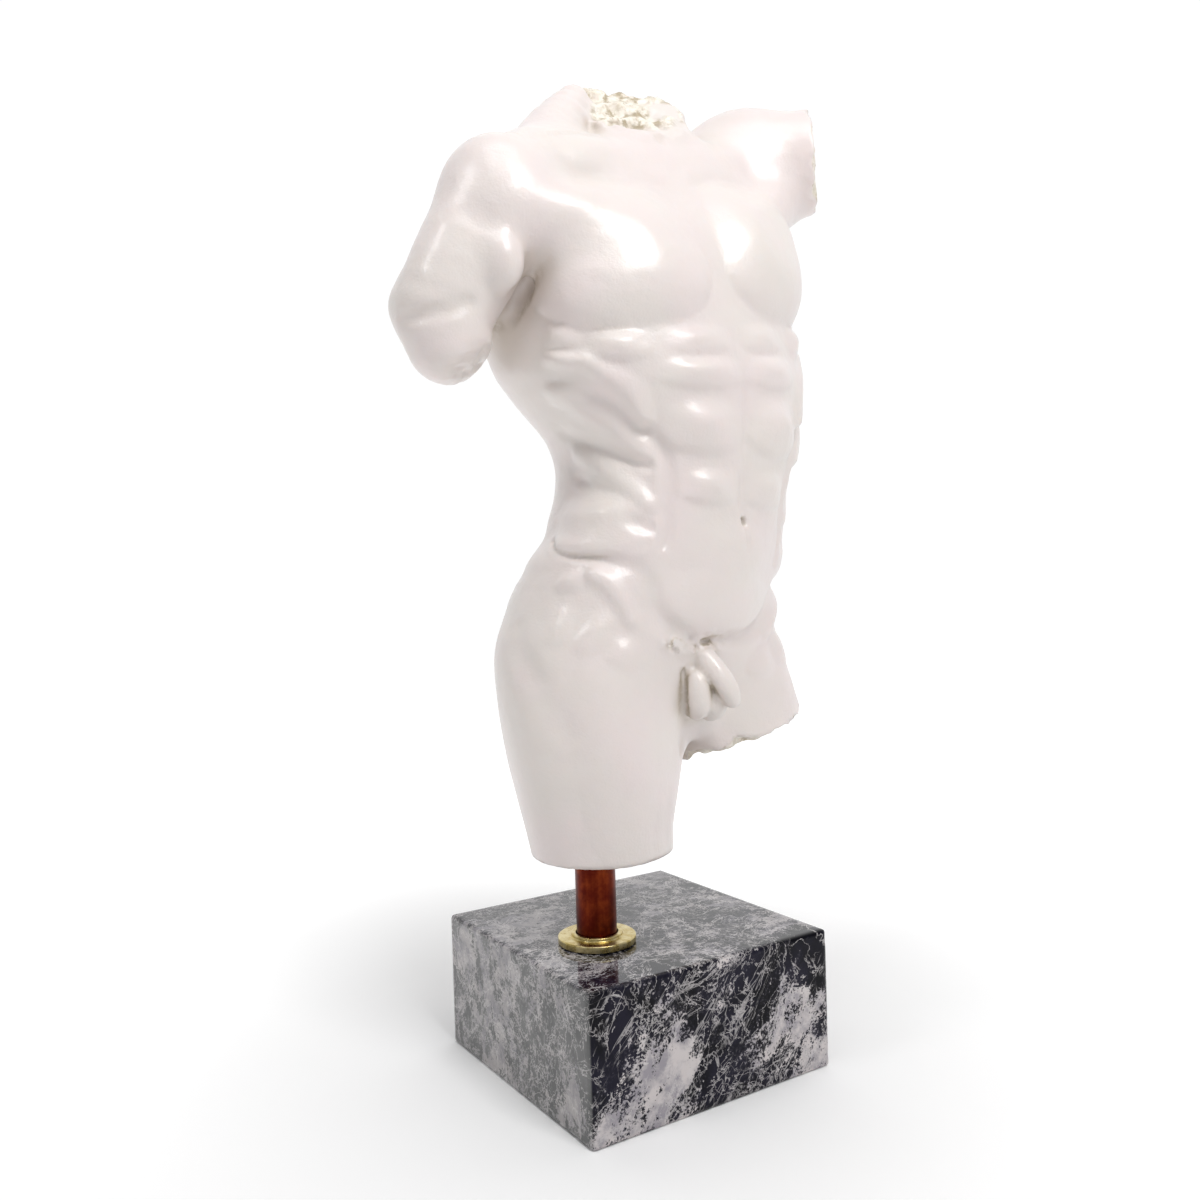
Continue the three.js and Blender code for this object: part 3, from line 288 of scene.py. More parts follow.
class Relief:
    """Low relief laid on a loft by angle and level."""

    def __init__(self, loft, radius):
        self.loft = loft
        self.radius = radius
        self.swellings = []
        self.bands = []

    def add_swelling(self, row, side=1):
        angle, level, wide, high, rise, tilt, power, painted_shade = row
        lean = math.radians(tilt * side)
        self.swellings.append((angle * side, level, wide, high, rise, lean, power, painted_shade))

    def add_band(self, row, side=1):
        points = [[math.radians(a * side) * self.radius, level, half] for a, level, half in row[1:]]
        self.bands.append((row[0], smooth_path(points, BAND_STEPS)))

    def height(self, p):
        level, ring, x, y = self.loft.locate(p)
        angle = np.arctan2(-x, -y) - np.radians(ring[:, 7])
        up = np.zeros(len(p))
        down = np.zeros(len(p))

        def lay(i, h, rise):
            if rise > 0:
                up[i] = np.maximum(up[i], h) + np.minimum(up[i], h) * OVERLAP_SHARE
            else:
                down[i] += h

        for at, middle, wide, high, rise, lean, power, painted_shade in self.swellings:
            off = (np.degrees(angle) - at + 180.0) % 360.0 - 180.0
            u = np.radians(off) * self.radius
            v = level - middle
            reach = 1.5 * max(wide, high)
            i = np.nonzero((np.abs(u) < reach) & (np.abs(v) < reach))[0]
            across = np.abs((u[i] * math.cos(lean) - v[i] * math.sin(lean)) / wide)
            along = np.abs((u[i] * math.sin(lean) + v[i] * math.cos(lean)) / high)
            q = (across ** power + along ** power) ** (1 / power)
            t = np.clip((1 - q) / painted_shade, 0, 1)
            gentle = t * t * (3 - 2 * t)
            hang = np.clip(-HANG * v[i] / high, 0, 1)
            lay(i, rise * (gentle + (1 - (1 - t) ** 2 - gentle) * hang), rise)
        for rise, path in self.bands:
            starts_behind = path[0, 0] > BACK_ANGLE * self.radius
            round_back = starts_behind & (angle < 0)
            u = np.where(round_back, angle + 2 * math.pi, angle) * self.radius
            low = path[:, :2].min(0) - path[:, 2].max()
            high = path[:, :2].max(0) + path[:, 2].max()
            i = np.nonzero((u > low[0]) & (u < high[0]) & (level > low[1]) & (level < high[1]))[0]
            if not len(i):
                continue
            near = np.ones(len(i))
            for a, b in zip(path[:-1], path[1:]):
                near = np.minimum(near, share_of_width(u[i], level[i], a, b))
            t = 1 - near
            lay(i, rise * t * t * (3 - 2 * t), rise)
        return up + down


def share_of_width(u, v, a, b):
    """Distance from the line between two points of a band, as a share of its half width."""
    du, dv = b[0] - a[0], b[1] - a[1]
    t = np.clip(((u - a[0]) * du + (v - a[1]) * dv) / max(du * du + dv * dv, TINY), 0, 1)
    return np.hypot(u - a[0] - t * du, v - a[1] - t * dv) / (a[2] + (b[2] - a[2]) * t)


JOIN_MARGIN = 3


class Shape:
    """A distance function with the box that holds its zero surface."""

    def __init__(self, low, high, distance):
        self.low = np.array(low, float)
        self.high = np.array(high, float)
        self.distance = distance


def cord(points):
    """A chain of tapering round rods."""
    path = smooth_path(points, CORD_STEPS)

    def distance(p):
        near = np.full(len(p), OUTSIDE)
        for a, b in zip(path[:-1], path[1:]):
            d = b[:3] - a[:3]
            t = np.clip(((p - a[:3]) @ d) / (d @ d), 0, 1)
            gap = np.linalg.norm(p - a[:3] - t[:, None] * d, axis=1)
            near = np.minimum(near, gap - a[3] - (b[3] - a[3]) * t)
        return near

    radius = path[:, 3:]
    return Shape((path[:, :3] - radius).min(0), (path[:, :3] + radius).max(0), distance)


def lump(row):
    """A leaning ellipsoid, near enough for blending."""
    middle, radii, lean_degrees = row
    middle = np.array(middle, float)
    radii = np.array(radii, float)
    lean = math.radians(lean_degrees)
    c, s = math.cos(lean), math.sin(lean)
    turn = np.array([[c, 0, -s], [0, 1, 0], [s, 0, c]])

    def distance(p):
        q = (p - middle) @ turn.T
        size = np.linalg.norm(q / radii, axis=1)
        slope = np.linalg.norm(q / radii ** 2, axis=1)
        return size * (size - 1) / np.maximum(slope, TINY)

    return Shape(middle - radii.max(), middle + radii.max(), distance)


def join(field, p, shape, blend):
    """Joins a shape to the field, within the box that the join can reach."""
    margin = blend + JOIN_MARGIN
    i = np.nonzero(((p > shape.low - margin) & (p < shape.high + margin)).all(1))[0]
    if len(i):
        field[i] = smooth_min(field[i], shape.distance(p[i]), blend)
    return field


def carve(field, p, shape, blend):
    return -join(-field, p, shape, blend)


def smooth_step(value, start, end):
    t = np.clip((value - start) / (end - start), 0, 1)
    return t * t * (3 - 2 * t)


def lattice(cell, seed):
    """A fixed value from -1 to 1 for each whole-number point."""
    mixed = cell[:, 0] * 73856093 ^ cell[:, 1] * 19349663 ^ cell[:, 2] * 83492791 ^ seed * 2654435761
    mixed = (mixed & 0xFFFFFFF) * 48271 & 0xFFFFFFF
    mixed = (mixed ^ mixed >> 13) * 16807 & 0xFFFFFFF
    return (mixed ^ mixed >> 11) % 65536 / 32768 - 1


def noise(p, size, seed):
    """Smooth noise from about -1 to 1 with knocks of the given size."""
    q = p / size
    base = np.floor(q).astype(np.int64)
    t = q - base
    t = t * t * (3 - 2 * t)
    total = np.zeros(len(p))
    for corner in np.ndindex(2, 2, 2):
        weight = np.where(np.array(corner) == 1, t, 1 - t).prod(1)
        total += weight * lattice(base + corner, seed)
    return total


KNOCK_REACH = 8  # how far from the plane the knocks are worked out
SCOOP = 0.7  # sets the coarsest knocks as deep as they are high


def break_distance(p, row, knocks, seed):
    """Distance outside a rough break: a plane with knocks of several sizes."""
    point, facing = np.array(row[0], float), np.array(row[1], float)
    plane = (p - point) @ (facing / np.linalg.norm(facing))
    i = np.nonzero(np.abs(plane) < KNOCK_REACH)[0]
    for k, (size, height) in enumerate(knocks):
        value = noise(p[i], size, seed + k)
        plane[i] += height * (np.abs(value) * 2 - SCOOP if k == 0 else value)
    return plane


class Figure:
    """The whole torso as a field that is negative inside the stone.

    The last number of each join, carving, smooth_min and smooth_max is the width of its blend,
    and each rough break has a seed of its own for its knocks."""

    def __init__(self):
        self.trunk = Loft(TRUNK_RINGS, TRUNK_POWER)
        self.right_thigh = Loft(RIGHT_THIGH_RINGS, THIGH_POWER)
        self.left_thigh = Loft(LEFT_THIGH_RINGS, THIGH_POWER)
        self.on_trunk = Relief(self.trunk, TRUNK_RADIUS)
        self.on_thigh = Relief(self.right_thigh, THIGH_RADIUS)
        for side in (1, -1):
            for row in PAIRED_SWELLINGS:
                self.on_trunk.add_swelling(row, side)
            for row in PAIRED_BANDS:
                self.on_trunk.add_band(row, side)
        for row in MIDDLE_SWELLINGS:
            self.on_trunk.add_swelling(row)
        for row in MIDDLE_BANDS:
            self.on_trunk.add_band(row)
        for row in THIGH_SWELLINGS:
            self.on_thigh.add_swelling(row)
        for row in THIGH_BANDS:
            self.on_thigh.add_band(row)
        self.cords = {
            name: cord(points) for name, points in {
                "right_nape": RIGHT_NAPE, "left_nape": LEFT_NAPE, "neck": NECK, "throat": THROAT,
                "left_arm": LEFT_ARM, "right_arm": RIGHT_ARM, "crease": ARM_CREASE,
                "slit": GROIN_SLIT, "pit": ARMPIT_PIT,
                "cleft": BUTTOCK_CLEFT, "shaft": SHAFT,
            }.items()
        }
        self.girdle = [
            (cord(RIGHT_COLLAR_BONE), 16), (cord(LEFT_COLLAR_BONE), 14),
            (lump(UPPER_BACK[0]), 12), (lump(UPPER_BACK[1]), 12),
            (cord(RIGHT_ARMPIT_FRONT), 8), (cord(LEFT_ARMPIT_FRONT), 8),
            (cord(RIGHT_ARMPIT_BACK), 10), (cord(LEFT_ARMPIT_BACK), 14),
        ]
        self.lumps = {
            name: lump(row) for name, row in {
                "right_buttock": RIGHT_BUTTOCK, "left_buttock": LEFT_BUTTOCK,
                "right_shoulder": RIGHT_SHOULDER, "left_shoulder": LEFT_SHOULDER,
                "biceps": BICEPS, "triceps": TRICEPS, "curls": CURLS,
            }.items()
        }
        self.stones = [lump(row) for row in STONES]

    def lower_body(self, p):
        body = self.trunk.distance(p)
        right = self.right_thigh.distance(p)
        i = np.nonzero(np.abs(right) < 12)[0]
        right[i] -= self.on_thigh.height(p[i])
        body = smooth_min(body, right, 8)
        body = join(body, p, self.lumps["right_buttock"], 10)
        body = join(body, p, self.lumps["left_buttock"], 10)
        left = join(self.left_thigh.distance(p), p, self.lumps["left_buttock"], 10)
        left = smooth_max(left, break_distance(p, LEFT_THIGH_BREAK, THIGH_KNOCKS, 30), 0.8)
        body = smooth_min(body, left, 6)
        body = carve(body, p, self.cords["cleft"], 6)
        i = np.nonzero(np.abs(body) < 16)[0]
        body[i] -= self.on_trunk.height(p[i])
        within = -self.lumps["curls"].distance(p)
        i = np.nonzero((within > 0) & (np.abs(body) < 6))[0]
        size, height = CURL_LOCKS
        body[i] -= height * smooth_step(within[i], 0, 3) * (1 - 2 * np.abs(noise(p[i], size, 60)))
        return body

    def neck(self, p):
        value = join(np.full(len(p), FAR), p, self.cords["left_nape"], 12)
        value = join(value, p, self.cords["neck"], 8)
        value = smooth_max(value, break_distance(p, NECK_BREAK, NECK_KNOCKS, 10), 0.8)
        value = join(value, p, self.cords["right_nape"], 4)
        value = join(value, p, self.cords["throat"], 5)
        return smooth_max(value, break_distance(p, NECK_TOP, ARM_KNOCKS, 20), 1.2)

    def left_arm(self, p):
        value = join(np.full(len(p), FAR), p, self.cords["left_arm"], 6)
        value = join(value, p, self.lumps["left_shoulder"], 8)
        return smooth_max(value, break_distance(p, LEFT_ARM_BREAK, ARM_KNOCKS, 40), 0.8)

    def right_arm(self, p):
        value = join(np.full(len(p), FAR), p, self.cords["right_arm"], 6)
        value = join(value, p, self.lumps["right_shoulder"], 6)
        value = join(value, p, self.lumps["biceps"], 6)
        value = join(value, p, self.lumps["triceps"], 5)
        value = carve(value, p, self.cords["crease"], 5)
        return smooth_max(value, break_distance(p, RIGHT_ARM_BREAK, ARM_KNOCKS[1:], 50), 2)

    def broken(self, p):
        """1 on the faces of the breaks: near the rough plane and well inside the uncut form."""
        cords, lumps = self.cords, self.lumps
        neck = [cords["neck"], cords["left_nape"]]
        faces = [
            (neck, NECK_BREAK, NECK_KNOCKS, 10), (neck, NECK_TOP, ARM_KNOCKS, 20),
            ([cords["left_arm"], lumps["left_shoulder"]], LEFT_ARM_BREAK, ARM_KNOCKS, 40),
            ([self.left_thigh, lumps["left_buttock"]], LEFT_THIGH_BREAK, THIGH_KNOCKS, 30),
        ]
        most = np.zeros(len(p))
        for shapes, row, knocks, seed in faces:
            gap = np.abs(break_distance(p, row, knocks, seed))
            inside = np.min([shape.distance(p) for shape in shapes], axis=0)
            cut = (1 - smooth_step(gap, 0.3, 1.2)) * (1 - smooth_step(inside, -1.2, -0.2))
            most = np.maximum(most, cut)
        return most

    def field(self, p):
        body = self.lower_body(p)
        body = smooth_min(body, self.neck(p), 12)
        for shape, blend in self.girdle:
            body = join(body, p, shape, blend)
        body = smooth_min(body, self.left_arm(p), 8)
        body = smooth_min(body, self.right_arm(p), 6)
        body = join(body, p, self.cords["shaft"], 1.6)
        for shape in self.stones:
            body = join(body, p, shape, 1.6)
        body = carve(body, p, self.cords["slit"], 1.5)
        body = carve(body, p, self.cords["pit"], 2)
        return smooth_max(body, -p[:, 2], 1.8)


def surface_net(field, low, high, cell, block):
    """Vertices and four-sided faces on the zero surface of a field."""
    low = np.array(low, float)
    count = np.ceil((np.array(high) - low) / (cell * block)).astype(int) + 1
    axes = [low[a] + np.arange(count[a]) * cell * block for a in range(3)]
    coarse = field(np.stack(np.meshgrid(*axes, indexing="ij"), -1).reshape(-1, 3)).reshape(count)
    hot = np.abs(coarse) < cell * block * HOT_REACH
    busy = np.zeros(count - 1, bool)
    for corner in np.ndindex(2, 2, 2):
        busy |= hot[tuple(slice(c, c + n - 1) for c, n in zip(corner, count))]
    fine = (count - 1) * block + 1
    nearest = [np.minimum((np.arange(n) + block // 2) // block, c - 1) for n, c in zip(fine, count)]
    values = np.sign(coarse)[np.ix_(*nearest)] * OUTSIDE
    wanted = np.zeros(fine, bool)
    spread = busy.repeat(block, 0).repeat(block, 1).repeat(block, 2)
    for corner in np.ndindex(2, 2, 2):
        wanted[tuple(slice(c, c + n - 1) for c, n in zip(corner, fine))] |= spread
    spots = np.argwhere(wanted)
    for start in range(0, len(spots), NET_BATCH):
        part = spots[start:start + NET_BATCH]
        values[tuple(part.T)] = field(low + part * cell)
    inside = values < 0

    def corner_of(array, corner):
        return array[tuple(slice(c, c + n - 1) for c, n in zip(corner, fine))]

    below = sum(corner_of(inside, corner).astype(np.int8) for corner in np.ndindex(2, 2, 2))
    active = (below > 0) & (below < 8)
    cells = np.argwhere(active)
    number = np.full(active.shape, -1, np.int64)
    number[active] = np.arange(len(cells))
    total = np.zeros((len(cells), 3))
    crossings = np.zeros(len(cells))
    for axis in range(3):
        for corner in np.ndindex(2, 2, 2):
            if corner[axis]:
                continue
            start = np.array(corner)
            end = start + np.eye(3, dtype=int)[axis]
            a = values[tuple((cells + start).T)]
            b = values[tuple((cells + end).T)]
            i = np.nonzero((a < 0) != (b < 0))[0]
            total[i] += start + (a[i] / (a[i] - b[i]))[:, None] * (end - start)
            crossings[i] += 1
    vertices = low + (cells + total / crossings[:, None]) * cell
    faces = []
    for axis in range(3):
        step = np.eye(3, dtype=int)[axis]
        first = inside[tuple(slice(0, n - s) for n, s in zip(fine, step))]
        second = inside[tuple(slice(s, n) for n, s in zip(fine, step))]
        edge = np.argwhere(first != second)
        u, v = (axis + 1) % 3, (axis + 2) % 3
        across = edge[:, [u, v]]
        edge = edge[(across > 0).all(1) & (across < fine[[u, v]] - 1).all(1)]
        ring = []
        for du, dv in ((-1, -1), (0, -1), (0, 0), (-1, 0)):
            at = edge.copy()
            at[:, u] += du
            at[:, v] += dv
            ring.append(number[tuple(at.T)])
        ring = np.stack(ring, -1)
        away = ~first[tuple(edge.T)]
        ring[away] = ring[away][:, ::-1]
        faces.append(ring)
    for _ in range(2):
        vertices = settle(field, vertices, cell / 2)
    return vertices, np.concatenate(faces)


def settle(field, vertices, reach):
    """Moves vertices down the slope of the field until they lie on the surface."""
    value, slope = slope_of(field, vertices)
    step = (value / np.maximum((slope ** 2).sum(1), 0.001))[:, None] * slope
    length = np.linalg.norm(step, axis=1)
    return vertices - step * np.minimum(1, reach / np.maximum(length, TINY))[:, None]


def slope_of(field, points, probe=0.05):
    """The field's value at each point and its slope along the three axes."""
    value = field(points)
    return value, np.stack([field(points + probe * axis) - value for axis in np.eye(3)], -1) / probe


# Pieces

def new_piece(name, vertices, faces, material):
    data = bpy.data.meshes.new(name)
    data.from_pydata(np.asarray(vertices).tolist(), [], np.asarray(faces).tolist())
    data.update()
    data.shade_smooth()
    data.materials.append(material)
    piece = bpy.data.objects.new(name, data)
    bpy.context.scene.collection.objects.link(piece)
    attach(piece, "root")
    return piece


def add_attribute(piece, name, values):
    attribute = piece.data.attributes.new(name, "FLOAT", "POINT")
    attribute.data.foreach_set("value", np.asarray(values, np.float32))


# How far out of the surface the hollows are felt for, and the weight of each reach
HOLLOW_REACHES = ((1.5, 0.2), (3, 0.25), (6, 0.3), (12, 0.25))


def hollowness(field, vertices, normals):
    """How much of the space in front of each vertex is filled, from 0 to about 1."""
    total = np.zeros(len(vertices))
    for reach, weight in HOLLOW_REACHES:
        clear = field(vertices + normals * reach)
        total += weight * np.clip((reach - clear) / reach, 0, 1.5)
    return total


def make_torso(material):
    figure = Figure()
    post_low, post_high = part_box("copper_post")
    torso_low, torso_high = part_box("torso")
    scale = (torso_high.z - torso_low.z) / FORM_HEIGHT
    middle = (post_low + post_high) / 2
    hole = (post_high.x - post_low.x) / 2 / scale + CLEARANCE
    deep = (post_high.z - torso_low.z) / scale + CLEARANCE

    def field(p):
        socket = smooth_max(np.hypot(p[:, 0], p[:, 1]) - hole, p[:, 2] - deep, 0.3)
        return smooth_max(figure.field(p), -socket, 0.4)

    vertices, faces = surface_net(field, NET_LOW, NET_HIGH, NET_CELL, NET_BLOCK)
    slope = slope_of(field, vertices)[1]
    normals = slope / np.linalg.norm(slope, axis=1)[:, None]
    # hollow is high in creases and recesses; the marble material darkens there as painted shade, with
    # olive grime in the most enclosed ones
    hollow = hollowness(figure.field, vertices, normals)
    broken = figure.broken(vertices)
    turn = np.array(Matrix.Rotation(TORSO_TURN, 3, "Z"))
    placed = vertices * scale @ turn.T + np.array([middle.x, middle.y, torso_low.z])
    piece = new_piece("torso_marble", placed, faces, material)
    add_attribute(piece, "hollow", hollow)
    add_attribute(piece, "broken", broken)
    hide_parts("torso")


def lathe(profile, sides):
    """Vertices and faces of a closed profile of (radius, height) turned about Z."""
    turns = [2 * math.pi * k / sides for k in range(sides)]
    vertices = [(r * math.cos(t), r * math.sin(t), z) for r, z in profile for t in turns]
    faces = []
    for i in range(len(profile)):
        for k in range(sides):
            a, b = i * sides + k, i * sides + (k + 1) % sides
            c, d = (n + (i + 1) % len(profile) * sides for n in (k, (k + 1) % sides))
            faces.append((a, b, d, c))
    return np.array(vertices), faces


MOST_OF_SIDE = 0.45  # share of a side that one rounding may take


def rounded_profile(corners, radius, steps):
    """A closed outline with each corner rounded."""
    outline = []
    for i, corner in enumerate(corners):
        here = Vector(corner)
        before = Vector(corners[i - 1]) - here
        after = Vector(corners[(i + 1) % len(corners)]) - here
        r = min(radius, before.length * MOST_OF_SIDE, after.length * MOST_OF_SIDE)
        start, end = here + before.normalized() * r, here + after.normalized() * r
        for k in range(steps + 1):
            t = k / steps
            outline.append(tuple(start * (1 - t) ** 2 + here * 2 * t * (1 - t) + end * t * t))
    return outline


POST_PINHOLE = 0.0008  # radius left open in the hidden ends, so that they have no pole
POST_SIDES = 96
POST_STEPS = 60
POST_END_STEPS = 4
POST_DENT = 0.006  # deepest wear, as a share of the radius
POST_STREAK = 0.25  # draws the wear out along the post
COLLAR_LIP = 1.8 * MM
COLLAR_STEP = 1.3 * MM
COLLAR_ROUNDING = 0.55 * MM
COLLAR_SIDES = 128


def make_post(material):
    low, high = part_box("copper_post")
    middle = (low + high) / 2
    radius = (high.x - low.x) / 2
    corners = [(POST_PINHOLE, low.z), (radius, low.z), (radius, high.z), (POST_PINHOLE, high.z)]
    outline = []
    for (r0, z0), (r1, z1) in zip(corners, corners[1:]):
        steps = POST_STEPS if r0 == r1 else POST_END_STEPS
        outline += [(r0 + (r1 - r0) * k / steps, z0 + (z1 - z0) * k / steps) for k in range(steps)]
    outline.append(corners[-1])
    vertices, faces = lathe(outline, POST_SIDES)
    streaked = vertices * (1, 1, POST_STREAK) / MM
    wear = noise(streaked, 5, 70) + 0.5 * noise(streaked, 2, 71)
    dent = 1 - POST_DENT * np.clip(wear, 0, 1)
    vertices[:, :2] *= dent[:, None]
    vertices += np.array([middle.x, middle.y, 0])
    piece = new_piece("post_copper", vertices, faces, material)
    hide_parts("copper_post")


def make_collar(material):
    low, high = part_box("brass_collar")
    post_low, post_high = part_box("copper_post")
    middle = (low + high) / 2
    outer = (high.x - low.x) / 2
    inner = (post_high.x - post_low.x) / 2 + CLEARANCE * MM
    lip = inner + COLLAR_LIP
    top = high.z - COLLAR_STEP
    corners = [(inner, low.z), (outer, low.z), (outer, top), (lip, top), (lip, high.z), (inner, high.z)]
    vertices, faces = lathe(rounded_profile(corners, COLLAR_ROUNDING, 5), COLLAR_SIDES)
    vertices += np.array([middle.x, middle.y, 0])
    piece = new_piece("collar_brass", vertices, faces, material)
    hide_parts("brass_collar")


BLOCK_PITCH = 1.3 * MM  # spacing of the block's vertices
BLOCK_EDGE = 1.3 * MM  # rounding of its edges
DEEPEST_CHIP = 0.5 * MM
CHIP_START = 0.25  # how much of the edge's wear leaves no chip


def make_plinth(material):
    low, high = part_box("marble_plinth")
    piece = rounded_block("plinth_marble", low, high, material)
    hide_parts("marble_plinth")


def rounded_block(name, low, high, material):
    """A block with rounded edges, cut finely enough for small chips along them."""
    size = high - low
    steps = [max(2, round(length / BLOCK_PITCH)) for length in size]
    points = {}
    vertices = []
    faces = []

    def vertex(i, j, k):
        key = (i, j, k)
        if key not in points:
            points[key] = len(vertices)
            vertices.append([low[a] + size[a] * n / steps[a] for a, n in enumerate(key)])
        return points[key]

    for axis in range(3):
        u, v = (axis + 1) % 3, (axis + 2) % 3
        for side in (0, steps[axis]):
            for i in range(steps[u]):
                for j in range(steps[v]):
                    ring = []
                    for di, dj in ((0, 0), (1, 0), (1, 1), (0, 1)):
                        key = [0, 0, 0]
                        key[axis], key[u], key[v] = side, i + di, j + dj
                        ring.append(vertex(*key))
                    faces.append(tuple(ring if side else ring[::-1]))
    spots = np.array(vertices)
    core = np.clip(spots, np.array(low) + BLOCK_EDGE, np.array(high) - BLOCK_EDGE)
    away = spots - core
    length = np.linalg.norm(away, axis=1)
    wear = noise(spots / MM, 6, 80) * 0.5 + noise(spots / MM, 2.2, 81) * 0.5
    on_edge = (np.abs(away) > BLOCK_EDGE * 0.2).sum(1) > 1
    pull = BLOCK_EDGE - np.where(on_edge, np.clip(wear - CHIP_START, 0, 1) * DEEPEST_CHIP, 0)
    placed = core + away / np.maximum(length, TINY)[:, None] * np.minimum(length, pull)[:, None]
    return new_piece(name, placed, faces, material)


# Materials

class Shading:
    """A material's node tree, built by calls that return output sockets."""

    def __init__(self, name):
        self.material = bpy.data.materials.new(name)
        self.material.use_nodes = True
        self.tree = self.material.node_tree
        self.shader = self.tree.nodes["Principled BSDF"]
        coordinates = self.tree.nodes.new("ShaderNodeTexCoord")
        self.place = coordinates.outputs["Object"]
        self.facing = coordinates.outputs["Normal"]

    def set(self, **values):
        """Sets the shader's sockets, by name with _ for a space, to values or to other sockets."""
        for key, value in values.items():
            self.feed(self.shader.inputs[key.replace("_", " ")], value)

    def feed(self, socket, value):
        if isinstance(value, bpy.types.NodeSocket):
            self.tree.links.new(value, socket)
        elif isinstance(value, tuple) and len(value) == 3 and socket.type == "RGBA":
            socket.default_value = (*value, 1)
        else:
            socket.default_value = value

    def node(self, kind, output, inputs, **settings):
        made = self.tree.nodes.new("ShaderNode" + kind)
        for key, value in settings.items():
            setattr(made, key, value)
        for key, value in inputs.items():
            self.feed(made.inputs[key], value)
        return made.outputs[output]

    def maths(self, operation, a, b=0.5, clamp=False):
        return self.node("Math", 0, {0: a, 1: b}, operation=operation, use_clamp=clamp)

    def mix(self, factor, a, b, blend="MIX"):
        return self.node("Mix", 2, {0: factor, 6: a, 7: b}, data_type="RGBA", blend_type=blend)

    def noise(self, scale, detail=4.0, roughness=0.55, place=None, distortion=0.0):
        return self.node("TexNoise", 0, {
            "Vector": place or self.place, "Scale": scale, "Detail": detail,
            "Roughness": roughness, "Distortion": distortion,
        })

    def stretched(self, x, y, z, turn=(0, 0, 0)):
        """Places scaled along each axis, then turned: a small factor draws the pattern out."""
        return self.node("Mapping", 0, {"Vector": self.place, "Scale": (x, y, z), "Rotation": turn})

    def leaning(self, lean, length):
        """Places for a pattern drawn out by a factor along a line that leans from upright to +X."""
        return self.node("Mapping", 0, {
            "Vector": self.place, "Scale": (1.0, 1.0, length), "Rotation": (0, lean, 0),
        }, vector_type="TEXTURE")

    def between(self, value, low, high):
        """0 below low, 1 above high, smooth between them."""
        return self.node(
            "MapRange", 0, {0: value, 1: low, 2: high, 3: 0.0, 4: 1.0}, interpolation_type="SMOOTHSTEP",
        )

    def line(self, value, middle, width):
        """1 where the value is at the middle, 0 further off than the width: a vein in noise."""
        off = self.maths("ABSOLUTE", self.maths("SUBTRACT", value, middle))
        return self.maths("SUBTRACT", 1.0, self.between(off, 0.0, width))

    def blob(self, middle, radius):
        """1 at a point, falling to 0 at a distance, all in millimetres."""
        gap = self.node("VectorMath", "Value", {
            0: self.place, 1: tuple(value * MM for value in middle),
        }, operation="DISTANCE")
        return self.maths("SUBTRACT", 1.0, self.between(gap, 0.0, radius * MM))

    def attribute(self, name):
        return self.node("Attribute", "Fac", {}, attribute_name=name)

    def bump(self, height, strength, distance):
        return self.node("Bump", 0, {"Height": height, "Strength": strength, "Distance": distance})


def white_marble():
    look = Shading("white_marble_polished")
    hollow = look.attribute("hollow")
    broken = look.attribute("broken")
    clouds = look.between(look.noise(24, 3), 0.35, 0.65)
    stone = look.mix(clouds, (0.765, 0.684, 0.668), (0.75, 0.695, 0.66))
    grain = look.line(look.noise(9, 5, 0.6, distortion=1.2), 0.5, 0.07)
    stone = look.mix(look.maths("MULTIPLY", grain, 0.07), stone, (0.66, 0.60, 0.58))
    crumb = look.noise(380, 5, 0.65)
    pits = look.between(look.noise(230, 3, 0.6), 0.36, 0.52)
    fresh = look.mix(look.between(crumb, 0.35, 0.6), (0.66, 0.60, 0.50), (0.84, 0.79, 0.72))
    fresh = look.mix(pits, (0.42, 0.35, 0.24), fresh)
    stone = look.mix(broken, stone, fresh)
    # Olive grime and painted shade: the most enclosed hollows turn dark olive, partly dirt and partly
    # shade painted into the colour
    grime_and_shade = look.maths("MULTIPLY", look.between(hollow, 0.46, 0.9), look.between(crumb, 0.2, 0.6))
    stone = look.mix(look.maths("MULTIPLY", grime_and_shade, 0.8), stone, (0.26, 0.20, 0.11))
    # Painted shade: every hollow is darkened towards warm brown by how enclosed it is
    painted_shade = look.maths("MULTIPLY", look.between(hollow, 0.1, 0.55), 0.4)
    stone = look.mix(painted_shade, stone, (0.60, 0.53, 0.45))
    dull = look.maths("ADD", look.maths("MULTIPLY", broken, 0.45), look.maths("MULTIPLY", grime_and_shade, 0.4))
    polish = look.maths("ADD", look.maths("MULTIPLY", look.noise(70, 3), 0.12), 0.26)
    ripples = look.maths("MULTIPLY", look.noise(160, 3), 1.2)
    ripples = look.maths("ADD", ripples, look.maths("MULTIPLY", look.noise(55, 2), 2.6))
    skin = look.maths("ADD", ripples, look.maths("MULTIPLY", look.noise(1300, 3), 0.3))
    rough = look.maths("ADD", skin, look.maths("MULTIPLY", crumb, look.maths("MULTIPLY", broken, 2.5)))
    look.set(
        Base_Color=stone,
        Roughness=look.maths("ADD", polish, dull, True),
        Normal=look.bump(rough, 0.4, 0.0007),
        Subsurface_Weight=0.16,
        Subsurface_Radius=(0.006, 0.0042, 0.0032),
        Subsurface_Scale=1.0,
        IOR=1.5,
        Coat_Weight=0.2,
        Coat_Roughness=0.12,
    )
    return look.material


